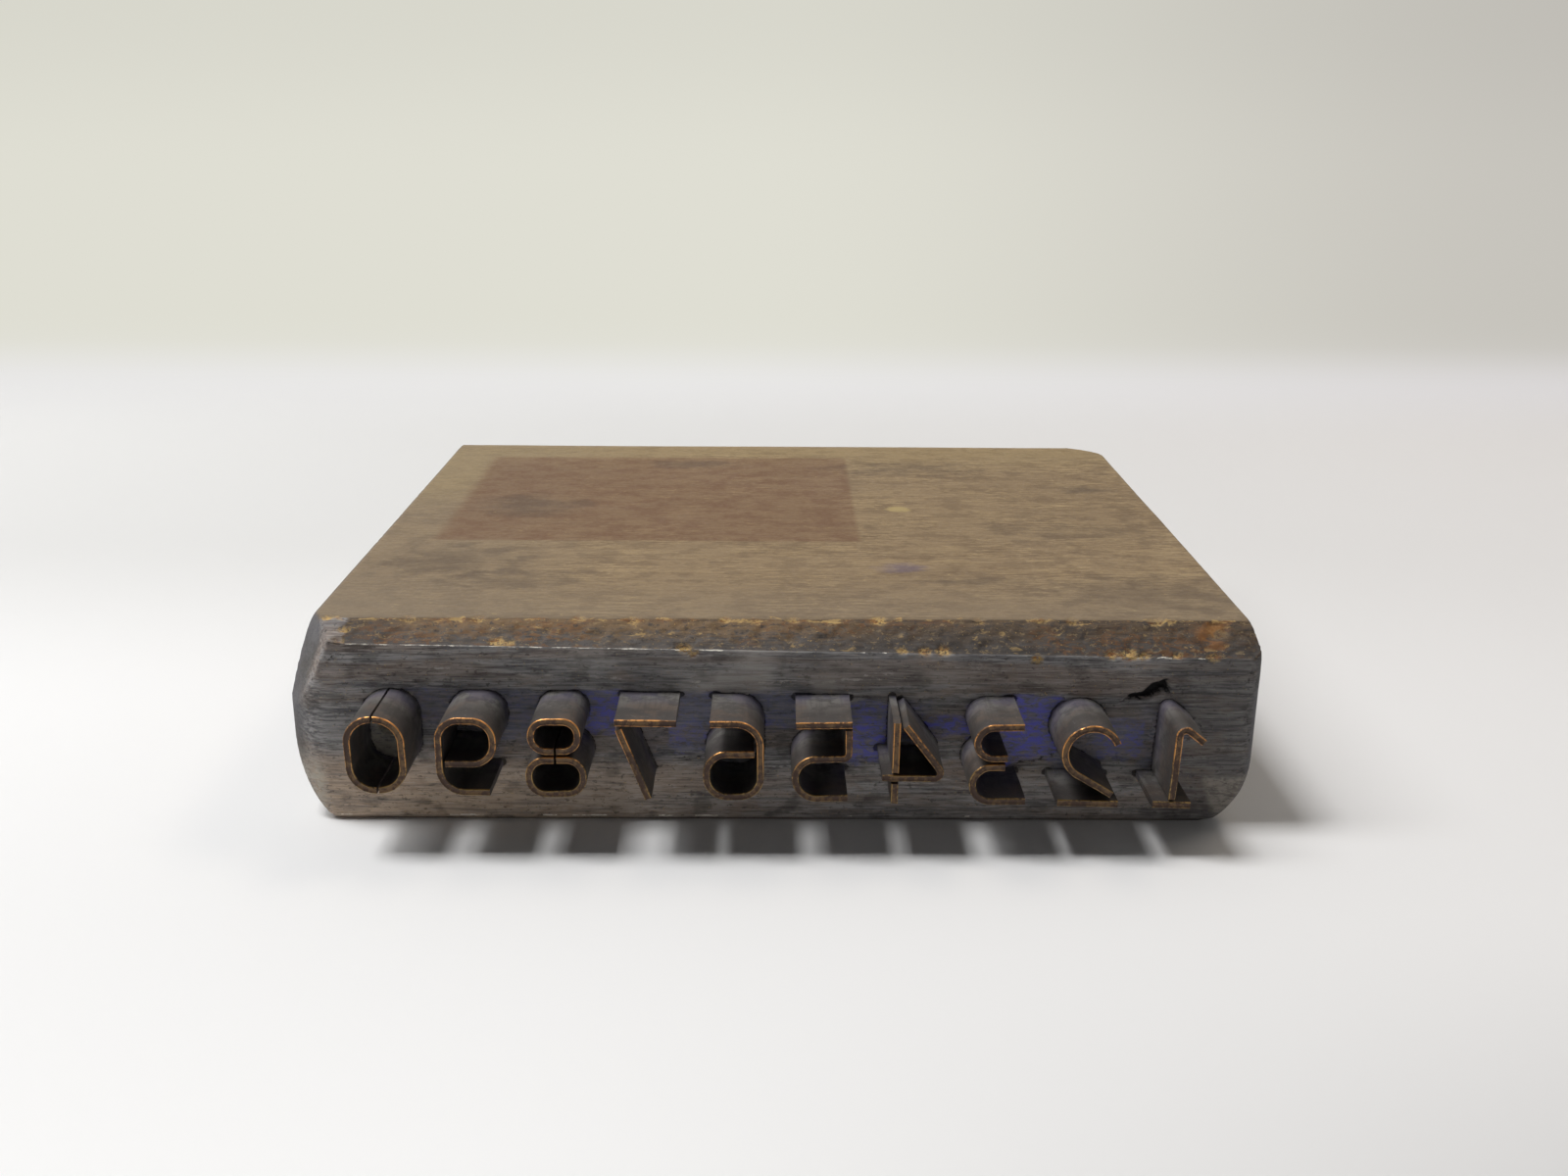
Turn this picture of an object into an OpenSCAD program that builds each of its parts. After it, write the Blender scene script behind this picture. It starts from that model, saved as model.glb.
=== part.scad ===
// Hand printing block: a slab of hardwood with a row of figures along one narrow side.
// Each figure is made of strips of brass, bent to shape and driven edge first into the wood.
// The figures are mirrored, so that they print the right way round.
// The block lies on its back face. X runs along the row, -Y is the printing side, +Z is up.
// The origin is the middle of the face that it lies on. All sizes are in millimetres.

/* [Wood block] */
// Length of the block, along the row of figures
block_l = 127; // [124:1:150]
// Depth of the block, from the printing side to the back
block_d = 102; // [60:1:140]
// Thickness of the block
block_h = 27; // [25:0.5:34]
// Radius of the upright corner at the left of the printing side
front_left_r = 6.5; // [1:0.5:7]
// Radius of the upright corner at the right of the printing side
front_right_r = 2.5; // [1:0.5:5]
// Radius of the upright corner at the back left
back_left_r = 4; // [1:0.5:12]
// Radius of the upright corner at the back right
back_right_r = 11; // [1:0.5:14]
// Width of the small worn edge along the foot of the printing side and round the back
arris = 0.7; // [0.3:0.1:1.5]

/* [Worn ends] */
// How far the left end is worn back at the top
left_top_wear = 4.2; // [1:0.1:6]
// How far the right end is worn back at the top
right_top_wear = 1.4; // [1:0.1:6]
// Height of the wear below the top, at the left end
left_top_rise = 14; // [4:0.5:14]
// Height of the wear below the top, at the right end
right_top_rise = 8; // [4:0.5:14]
// How far the left end is worn back at the foot
left_foot_wear = 6.4; // [1:0.1:8]
// How far the right end is worn back at the foot
right_foot_wear = 6.6; // [1:0.1:8]
// Height of the wear at the foot, at the left end
left_foot_rise = 12.5; // [6:0.5:13]
// Height of the wear at the foot, at the right end
right_foot_rise = 9; // [6:0.5:13]
// Fullness of the worn edges, where 1 is a flat bevel and 2 an ellipse
wear_fullness = 1.6; // [1.1:0.05:2]

/* [Front chamfer] */
// How far the chamfer reaches over the top face
chamfer_back = 4.5; // [1:0.1:6]
// How far the chamfer comes down the front at the left end
chamfer_drop_left = 2; // [1:0.1:4]
// How far the chamfer comes down the front at the right end
chamfer_drop_right = 3.7; // [1:0.1:5]

/* [Brass strip] */
// Thickness of the strip
strip_t = 0.9; // [0.6:0.05:1.1]
// How far the strips stand out of the wood
strip_out = 8.9; // [4:0.1:12]
// How deep the strips are driven into the wood
strip_seat = 8; // [4:0.5:14]
// Length of the taper on the driven edge
taper_l = 2.5; // [1:0.1:3.5]
// Thickness left at the tip of the driven edge
tip_t = 0.3; // [0.2:0.05:0.5]
// Inner radius of a sharp corner bent with pliers
corner_in_r = 0.3; // [0.15:0.05:0.6]
// Gap left between two strips of one figure
joint_gap = 0.3; // [0.2:0.05:0.5]
// Clearance between a strip and its slot, on each face
slot_gap = 0.03; // [0.02:0.01:0.06]

/* [Figures] */
// Width of a figure over its strips
figure_w = 7.6; // [6.8:0.1:8.4]
// Height of a figure over its strips, in the middle of the row
figure_h = 10.8; // [9.8:0.1:12]
// How much taller the last figure on the right is than the first
row_growth = 0.6; // [0:0.1:1.2]
// Distance from one figure to the next
figure_pitch = 11.1; // [10.4:0.1:11.4]
// How far the middle of the row lies right of the middle of the block
row_x = 0.9; // [-1:0.1:2]
// Height of the middle of the row above the face that the block lies on
row_z = 12.8; // [11.5:0.1:15]
// How far the row drops from its first to its last figure
row_drop = 1.3; // [0:0.1:2]

/* [Relief hole] */
// Diameter of the hole that clears the wood inside the first figure
relief_d = 3.8; // [2:0.1:4.2]
// Depth of that hole
relief_depth = 3; // [1:0.5:12]
// How far the hole's middle lies above the middle of the figure
relief_up = 0.8; // [-1:0.1:1.5]

/* [Hidden] */
$fn = 48;
over = 2;
curve_steps = 9;

// Small errors of a row set by hand, one for each figure from the left: turn in degrees, shift in mm
figure_turn = [0.6, -0.8, 0.5, -0.6, 0.4, 1.1, -0.5, 0.9, -1.0, -1.6];
figure_shift = [0, 0.15, 0.1, 0.2, 0, -0.1, 0.15, -0.15, 0.1, 0.1];
last = len(figure_turn) - 1;

// Places of the figures, read from the left of the printing side
zero_at = 0;
nine_at = 1;
eight_at = 2;
seven_at = 3;
six_at = 4;
five_at = 5;
four_at = 6;
three_at = 7;
two_at = 8;
one_at = 9;

// A figure's box over the middle lines of its strips
half_t = strip_t / 2;
fig_w = figure_w - strip_t;
corner_r = corner_in_r + half_t;
// Turn of a sharp corner bent back on itself. It is made in two steps that can be written
// exactly, a right angle and the small angle of a 3-4-5 triangle, so that they join without a gap.
plier_rest = atan2(3, 4);
plier_turn = 90 + plier_rest;
function fig_h(i) = figure_h - strip_t + row_growth * (i / last - 0.5);

// Distance between the middle lines of two strips that lie side by side
lay_by = strip_t + joint_gap;
// The same for a strip that ends on another, which it meets at angle a
function butt(a) = half_t + joint_gap + half_t * abs(cos(a));

// A strip is written as [start point, heading, path], and a path as a list of steps.
// A step is a straight run, or a bend of a radius through an angle, left turns being positive.
function run(length) = [length, 0];
function bend(radius, angle) = [radius, angle];
// Length that a bend takes off each of the two lines that it joins
function bend_tangent(radius, angle) = radius * tan(abs(angle) / 2);
function turned_round(strip, w, h) = [[w - strip[0].x, h - strip[0].y], strip[1] + 180, strip[2]];

// Cross-section of a strip, or of its slot with c added all round
module strip_section(c, out) {
    deep = strip_seat + c;
    polygon([
        [-half_t - c, out],
        [-half_t - c, taper_l - strip_seat],
        [-tip_t / 2 - c, -deep],
        [tip_t / 2 + c, -deep],
        [half_t + c, taper_l - strip_seat],
        [half_t + c, out]
    ]);
}

module straight(length, c, out) {
    rotate([90, 0, 90])
        linear_extrude(length)
            strip_section(c, out);
}

module curved(radius, angle, c, out) {
    side = sign(angle);
    translate([0, side * radius, 0])
        rotate(min(angle, 0) - 90 * side)
            rotate_extrude(angle = abs(angle))
                translate([radius, 0])
                    strip_section(c, out);
}

// Follows the path step by step, each from where the last one ended
module follow(path, c, out, i = 0) {
    if (i < len(path)) {
        size = path[i][0];
        angle = path[i][1];
        side = sign(angle);
        if (angle == 0) {
            straight(size, c, out);
            translate([size, 0, 0]) follow(path, c, out, i + 1);
        } else {
            curved(size, angle, c, out);
            translate([0, side * size, 0])
                rotate(angle)
                    translate([0, -side * size, 0])
                        follow(path, c, out, i + 1);
        }
    }
}

// Puts what is drawn in a figure's own plane in its place in the row, mirrored
module in_row(i) {
    x = row_x + figure_pitch * (i - last / 2) + figure_shift[i];
    z = row_z - row_drop * (i / last - 0.5);
    translate([x, -block_d / 2, z])
        rotate([90, 0, 0])
            rotate(figure_turn[i])
                mirror([1, 0, 0])
                    translate([-fig_w / 2, -fig_h(i) / 2, 0])
                        children();
}

module strip(i, shape) {
    in_row(i)
        translate(shape[0])
            rotate(shape[1])
                follow(shape[2], 0, strip_out);
}

// The slot is longer than the strip by the clearance at both ends
module slot(i, shape) {
    in_row(i)
        translate(shape[0])
            rotate(shape[1])
                translate([-slot_gap, 0, 0])
                    follow(concat([run(slot_gap)], shape[2], [run(slot_gap)]), slot_gap, over);
}

// The 0 is two half loops that meet at the top and the bottom
function zero_half(h) =
    let (r = (fig_w - joint_gap) / 2)
    [bend(r, 90), run(h - 2 * r), bend(r, 90)];
zero_h = fig_h(zero_at);
zero_left_shape = [[(fig_w - joint_gap) / 2, zero_h], 180, zero_half(zero_h)];
zero_right_shape = [[(fig_w + joint_gap) / 2, 0], 0, zero_half(zero_h)];

// The 6 is one strip that curls round to its own back. The 9 is the same strip turned round.
bowl_r = 2.6;
crown_r = 3.1;
bowl_h = 5.8;
mouth = 0.5;
function curl(h) = [
    [fig_w - mouth, h],
    180,
    [
        run(fig_w - mouth - crown_r),
        bend(crown_r, 90),
        run(h - crown_r - bowl_r),
        bend(bowl_r, 90),
        run(fig_w - 2 * bowl_r),
        bend(bowl_r, 90),
        run(bowl_h - 2 * bowl_r),
        bend(bowl_r, 90),
        run(fig_w - bowl_r - half_t - joint_gap)
    ]
];
six_shape = curl(fig_h(six_at));
nine_shape = turned_round(curl(fig_h(nine_at)), fig_w, fig_h(nine_at));

// The 8 is two closed loops, one on top of the other, each jointed where they meet
upper_share = 0.46;
upper_inset = 0.5;
loop_round = 0.46;
function loop(w, h) =
    let (r = loop_round * h, half = w / 2 - r - joint_gap / 2)
    [
        run(half), bend(r, 90), run(h - 2 * r), bend(r, 90), run(w - 2 * r),
        bend(r, 90), run(h - 2 * r), bend(r, 90), run(half)
    ];
eight_h = fig_h(eight_at);
eight_upper_h = (eight_h - lay_by) * upper_share;
eight_lower_h = eight_h - lay_by - eight_upper_h;
eight_upper_shape = [
    [(fig_w + joint_gap) / 2, eight_h - eight_upper_h],
    0,
    loop(fig_w - 2 * upper_inset, eight_upper_h)
];
eight_lower_shape = [
    [(fig_w - joint_gap) / 2, eight_lower_h],
    180,
    loop(fig_w, eight_lower_h)
];

// The 7 is a bar, and a leg that ends under it
seven_lean = 21;
seven_h = fig_h(seven_at);
seven_top = seven_h - butt(90 - seven_lean);
seven_bar_shape = [[-half_t, seven_h], 0, [run(figure_w)]];
seven_leg_shape = [
    [fig_w - half_t * (1 - cos(seven_lean)), seven_top],
    270 - seven_lean,
    [run((seven_top + half_t) / cos(seven_lean))]
];

// The 5 is a bar, and a stem that turns into the bowl
five_bowl_r = 2.7;
five_tail = 0.2;
five_h = fig_h(five_at);
five_bar_shape = [[fig_w - five_tail, five_h], 180, [run(figure_w - five_tail - half_t)]];
five_bowl_shape = [
    [0, five_h - butt(90)],
    270,
    [
        run(five_h - butt(90) - 2 * five_bowl_r - corner_r),
        bend(corner_r, 90),
        run(fig_w - five_bowl_r - corner_r),
        bend(five_bowl_r, -180),
        run(fig_w - five_bowl_r - five_tail)
    ]
];

// The 4 is an elbow, a stem that ends on the elbow's bar, and a foot under the bar
four_stem_in = 1.2;
four_bar_z = 3;
four_slant = 360 - plier_turn;
four_h = fig_h(four_at);
four_stem_x = fig_w - four_stem_in;
four_reach = (four_h - four_bar_z) / abs(sin(four_slant));
four_start_x = four_stem_x - half_t - joint_gap - half_t * abs(sin(four_slant));
four_tangent = bend_tangent(corner_r, plier_turn);
four_corner_x = four_start_x + four_reach * cos(four_slant);
four_elbow_shape = [
    [four_start_x, four_h],
    four_slant,
    [
        run(four_reach - four_tangent),
        bend(corner_r, 90),
        bend(corner_r, plier_rest),
        run(fig_w + half_t - four_corner_x - four_tangent)
    ]
];
four_stem_shape = [[four_stem_x, four_h + half_t], 270, [run(four_h + half_t - four_bar_z - butt(90))]];
four_foot_shape = [[four_stem_x, four_bar_z - butt(90)], 270, [run(four_bar_z - butt(90) + half_t)]];

// The 3 is two hooks, one above the other
three_upper_share = 0.47;
three_start = 0.5;
three_return = 1.7;
three_h = fig_h(three_at);
three_upper_r = (three_h - lay_by) / 2 * three_upper_share;
three_lower_r = (three_h - lay_by) / 2 - three_upper_r;
three_upper_shape = [
    [three_start, three_h],
    0,
    [
        run(fig_w - 2 * three_start - three_upper_r),
        bend(three_upper_r, -180),
        run(three_return)
    ]
];
three_lower_shape = [
    [fig_w - three_lower_r - three_return, 2 * three_lower_r],
    0,
    [
        run(three_return),
        bend(three_lower_r, -180),
        run(fig_w - three_lower_r)
    ]
];

// The 2 is a hook that runs down to the end of a bar
two_tip_x = 0.4;
two_h = fig_h(two_at);
two_r = fig_w / 2;
two_tip = [two_tip_x - two_r, lay_by - (two_h - two_r)];
two_leave = atan2(two_tip.y, two_tip.x) + acos(two_r / norm(two_tip));
two_turn = 90 + plier_turn;
two_open = two_leave + two_turn;
two_hook_shape = [
    [two_r * (1 + cos(two_open)), two_h - two_r + two_r * sin(two_open)],
    two_open - 90,
    [
        bend(two_r, -180),
        bend(two_r, -plier_rest),
        run(sqrt(norm(two_tip) ^ 2 - two_r ^ 2))
    ]
];
two_base_shape = [[-half_t, 0], 0, [run(figure_w)]];

// The 1 is a stem with its flag bent over, and a bar under it
one_flag_slope = plier_turn - 90;
one_flag_l = 3.9;
one_stem_x = fig_w / 2 + 0.5;
one_base_l = 4.8;
one_h = fig_h(one_at);
one_tangent = bend_tangent(corner_r, plier_turn);
one_peak = one_h + one_tangent - corner_r;
one_stem_shape = [
    [one_stem_x - one_flag_l * cos(one_flag_slope), one_peak - one_flag_l * sin(one_flag_slope)],
    one_flag_slope,
    [
        run(one_flag_l - one_tangent),
        bend(corner_r, -90),
        bend(corner_r, -plier_rest),
        run(one_peak - one_tangent - butt(90))
    ]
];
one_base_shape = [[one_stem_x - one_base_l / 2, 0], 0, [run(one_base_l)]];

STRIPS = [
    [zero_at, zero_left_shape], [zero_at, zero_right_shape], [nine_at, nine_shape],
    [eight_at, eight_upper_shape], [eight_at, eight_lower_shape],
    [seven_at, seven_bar_shape], [seven_at, seven_leg_shape], [six_at, six_shape],
    [five_at, five_bar_shape], [five_at, five_bowl_shape],
    [four_at, four_elbow_shape], [four_at, four_stem_shape], [four_at, four_foot_shape],
    [three_at, three_upper_shape], [three_at, three_lower_shape],
    [two_at, two_hook_shape], [two_at, two_base_shape],
    [one_at, one_stem_shape], [one_at, one_base_shape]
];

// One corner of the plan, with the material outside its radius to be cut away
module plan_corner(x, y, r) {
    translate([x * (block_l / 2 - r), y * (block_d / 2 - r)])
        difference() {
            translate([x > 0 ? 0 : -r - over, y > 0 ? 0 : -r - over])
                square(r + over);
            circle(r);
        }
}

module slab() {
    linear_extrude(block_h)
        difference() {
            square([block_l, block_d], center = true);
            plan_corner(-1, -1, front_left_r);
            plan_corner(1, -1, front_right_r);
            plan_corner(-1, 1, back_left_r);
            plan_corner(1, 1, back_right_r);
        }
}

// Outline of what is worn off an edge: a curve between two faces,
// reaching wear along x and rise along y from the corner at the origin
module wear_outline(wear, rise) {
    power = 2 / wear_fullness;
    curve = [
        for (k = [0:curve_steps])
        let (a = 90 * k / curve_steps)
        [wear * (1 - cos(a) ^ power), rise * (1 - sin(a) ^ power)]
    ];
    polygon(concat([[-over, rise], [-over, -over], [wear, -over]], [for (k = [curve_steps:-1:0]) curve[k]]));
}

// An end edge of the block, worn along its whole depth
module worn_edge(x, z, wear, rise) {
    translate([x * block_l / 2, block_d / 2 + over, z > 0 ? block_h : 0])
        rotate([90, 0, 0])
            mirror([x > 0 ? 1 : 0, 0, 0])
                mirror([0, z > 0 ? 1 : 0, 0])
                    linear_extrude(block_d + 2 * over)
                        wear_outline(wear, rise);
}

// The front chamfer, which comes further down the front at the right end
module front_chamfer() {
    hull()
        for (end = [[-1, chamfer_drop_left], [1, chamfer_drop_right]])
            translate([end[0] * block_l / 2, -block_d / 2, block_h])
                rotate([90, 0, 90])
                    linear_extrude(0.01, center = true)
                        polygon([
                            [chamfer_back, 0], [chamfer_back, over], [-over, over],
                            [-over, -end[1]], [0, -end[1]]
                        ]);
}

// A small worn edge along the block's length
module worn_arris(y, z) {
    translate([0, y * block_d / 2, z > 0 ? block_h : 0])
        rotate([45, 0, 0])
            cube([block_l + 2 * over, arris * sqrt(2), arris * sqrt(2)], center = true);
}

module relief_hole() {
    in_row(zero_at)
        translate([fig_w / 2, zero_h / 2 + relief_up, -relief_depth])
            cylinder(d = relief_d, h = relief_depth + over);
}

module wood_block() {
    color("#7a6248")
        difference() {
            slab();
            worn_edge(-1, 1, left_top_wear, left_top_rise);
            worn_edge(1, 1, right_top_wear, right_top_rise);
            worn_edge(-1, -1, left_foot_wear, left_foot_rise);
            worn_edge(1, -1, right_foot_wear, right_foot_rise);
            front_chamfer();
            worn_arris(-1, -1);
            worn_arris(1, -1);
            worn_arris(1, 1);
            relief_hole();
            for (s = STRIPS)
                slot(s[0], s[1]);
        }
}

module brass() {
    color("#8a6a45")
        children();
}

module zero_left() { brass() strip(zero_at, zero_left_shape); }
module zero_right() { brass() strip(zero_at, zero_right_shape); }
module nine_strip() { brass() strip(nine_at, nine_shape); }
module eight_upper() { brass() strip(eight_at, eight_upper_shape); }
module eight_lower() { brass() strip(eight_at, eight_lower_shape); }
module seven_bar() { brass() strip(seven_at, seven_bar_shape); }
module seven_leg() { brass() strip(seven_at, seven_leg_shape); }
module six_strip() { brass() strip(six_at, six_shape); }
module five_bar() { brass() strip(five_at, five_bar_shape); }
module five_bowl() { brass() strip(five_at, five_bowl_shape); }
module four_elbow() { brass() strip(four_at, four_elbow_shape); }
module four_stem() { brass() strip(four_at, four_stem_shape); }
module four_foot() { brass() strip(four_at, four_foot_shape); }
module three_upper() { brass() strip(three_at, three_upper_shape); }
module three_lower() { brass() strip(three_at, three_lower_shape); }
module two_hook() { brass() strip(two_at, two_hook_shape); }
module two_base() { brass() strip(two_at, two_base_shape); }
module one_stem() { brass() strip(one_at, one_stem_shape); }
module one_base() { brass() strip(one_at, one_base_shape); }

wood_block();
zero_left();
zero_right();
nine_strip();
eight_upper();
eight_lower();
seven_bar();
seven_leg();
six_strip();
five_bar();
five_bowl();
four_elbow();
four_stem();
four_foot();
three_upper();
three_lower();
two_hook();
two_base();
one_stem();
one_base();
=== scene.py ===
# Hand printing block: an old hardwood slab with ten figures of bent brass strip along one side.
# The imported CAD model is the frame. The wood and the strips are rebuilt finer over it.
import math

import bmesh
import bpy
import numpy as np
from mathutils import Matrix, Vector
from mathutils.geometry import delaunay_2d_cdt


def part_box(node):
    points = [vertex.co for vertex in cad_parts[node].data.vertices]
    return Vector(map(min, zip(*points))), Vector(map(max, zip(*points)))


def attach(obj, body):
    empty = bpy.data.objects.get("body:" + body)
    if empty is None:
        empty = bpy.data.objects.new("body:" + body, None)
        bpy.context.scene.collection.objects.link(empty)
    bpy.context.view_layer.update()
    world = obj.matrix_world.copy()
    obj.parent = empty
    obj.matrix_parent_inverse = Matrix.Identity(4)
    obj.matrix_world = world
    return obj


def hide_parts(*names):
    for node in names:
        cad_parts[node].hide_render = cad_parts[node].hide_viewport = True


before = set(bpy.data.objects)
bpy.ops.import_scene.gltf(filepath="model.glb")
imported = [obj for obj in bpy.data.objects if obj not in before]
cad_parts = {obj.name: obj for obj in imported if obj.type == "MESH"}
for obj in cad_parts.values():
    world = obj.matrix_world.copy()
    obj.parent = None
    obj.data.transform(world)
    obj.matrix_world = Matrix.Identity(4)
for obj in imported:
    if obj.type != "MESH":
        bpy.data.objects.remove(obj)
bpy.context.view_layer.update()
mm = 0.001
print("frame loaded")


# Small tools

def linearColour(hexText, alpha=1.0):
    parts = [int(hexText[i:i + 2], 16) / 255 for i in (1, 3, 5)]
    return tuple(c / 12.92 if c <= 0.04045 else ((c + 0.055) / 1.055) ** 2.4 for c in parts) + (alpha,)


def easeBetween(low, high, value):  # 0 below low, 1 above high, smooth in between
    t = np.clip((value - low) / (high - low), 0, 1)
    return t * t * (3 - 2 * t)


def latticeValue(ix, iy, iz, seed):  # the same number from -1 to 1 for the same corner, on every run
    h = (ix * 374761393 + iy * 668265263 + iz * 1440662683 + seed * 974634777) & 0x7FFFFFFF
    h = ((h ^ (h >> 13)) * 1103515245) & 0x7FFFFFFF
    h = ((h ^ (h >> 16)) * 12345677) & 0x7FFFFFFF
    return ((h >> 7) & 0xFFFF) / 32767.5 - 1


def smoothNoise(points, size, seed):  # soft noise from -1 to 1, with features of the given size in mm
    q = points / np.asarray(size, float)
    cell = np.floor(q).astype(np.int64)
    f = q - cell
    f = f * f * (3 - 2 * f)
    total = np.zeros(len(points))
    for corner in range(8):
        dx, dy, dz = corner & 1, corner >> 1 & 1, corner >> 2 & 1
        weight = f[:, 0] if dx else 1 - f[:, 0]
        weight = weight * (f[:, 1] if dy else 1 - f[:, 1])
        weight = weight * (f[:, 2] if dz else 1 - f[:, 2])
        total += weight * latticeValue(cell[:, 0] + dx, cell[:, 1] + dy, cell[:, 2] + dz, seed)
    return total


def layeredNoise(points, size, seed, layers=3):
    size = np.asarray(size, float)
    total, share = np.zeros(len(points)), 0.0
    for layer in range(layers):
        total += smoothNoise(points, size / 2 ** layer, seed + layer) / 2 ** layer
        share += 1 / 2 ** layer
    return total / share


def distanceToPath(x, z, path):  # distance of each point (x, z) to a line through the points of path
    nearest = np.full(len(x), 1e9)
    for (ax, az), (bx, bz) in zip(path[:-1], path[1:]):
        lx, lz = bx - ax, bz - az
        t = np.clip(((x - ax) * lx + (z - az) * lz) / max(lx * lx + lz * lz, 1e-12), 0, 1)
        nearest = np.minimum(nearest, np.hypot(x - ax - t * lx, z - az - t * lz))
    return nearest


def insideOutline(x, z, corners):  # True for the points that a closed outline goes round
    inside = np.zeros(len(x), bool)
    for (ax, az), (bx, bz) in zip(corners, corners[1:] + corners[:1]):
        crosses = (az > z) != (bz > z)
        inside ^= crosses & (x < (bx - ax) * (z - az) / ((bz - az) or 1e-12) + ax)
    return inside


# Shapes of the figures. A strip is a start point, a heading and steps, as in the CAD source:
# a straight run is (length, 0) and a bend is (radius, angle), left turns being positive.
figureRow = {
    "stripThickness": 0.9,
    "standsOut": 8.9,
    "seat": 8.0,
    "tipThickness": 0.3,
    "taperLength": 2.5,
    "innerCorner": 0.3,
    "jointGap": 0.3,
    "figureWidth": 7.6,
    "figureHeight": 10.8,
    "growth": 0.6,
    "pitch": 11.1,
    "rowX": 0.9,
    "rowZ": 12.8,
    "rowDrop": 1.3,
    "turns": [0.6, -0.8, 0.5, -0.6, 0.4, 1.1, -0.5, 0.9, -1.0, -1.6],
    "shifts": [0, 0.15, 0.1, 0.2, 0, -0.1, 0.15, -0.15, 0.1, 0.1],
}
blockLow, blockHigh = (np.array(corner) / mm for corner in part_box("wood_block"))
frontY, backY, topZ = blockLow[1], blockHigh[1], blockHigh[2]
halfT = figureRow["stripThickness"] / 2
gap = figureRow["jointGap"]
figureW = figureRow["figureWidth"] - 2 * halfT
cornerR = figureRow["innerCorner"] + halfT
layBy = 2 * halfT + gap
lastPlace = len(figureRow["turns"]) - 1
plierRest = math.degrees(math.atan2(3, 4))  # a sharp corner turns through a right angle and this


def figureHeight(place):
    return figureRow["figureHeight"] - 2 * halfT + figureRow["growth"] * (place / lastPlace - 0.5)


def butt(angle):  # room for a strip that ends on another one
    return halfT + gap + halfT * abs(math.cos(math.radians(angle)))


def bendTangent(radius, angle):
    return radius * math.tan(math.radians(angle) / 2)


def turnedRound(shape, w, h):
    (x, y), heading, steps = shape
    return (w - x, h - y), heading + 180, steps


def zeroHalf(h):
    r = (figureW - gap) / 2
    return [(r, 90), (h - 2 * r, 0), (r, 90)]


def curl(h):
    bowlR, crownR, bowlH, mouth = 2.6, 3.1, 5.8, 0.5
    return (figureW - mouth, h), 180, [
        (figureW - mouth - crownR, 0), (crownR, 90), (h - crownR - bowlR, 0), (bowlR, 90),
        (figureW - 2 * bowlR, 0), (bowlR, 90), (bowlH - 2 * bowlR, 0), (bowlR, 90),
        (figureW - bowlR - halfT - gap, 0)]


def closedLoop(w, h):
    r = 0.46 * h
    half = w / 2 - r - gap / 2
    side = h - 2 * r
    return [(half, 0), (r, 90), (side, 0), (r, 90), (w - 2 * r, 0), (r, 90), (side, 0), (r, 90), (half, 0)]


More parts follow.
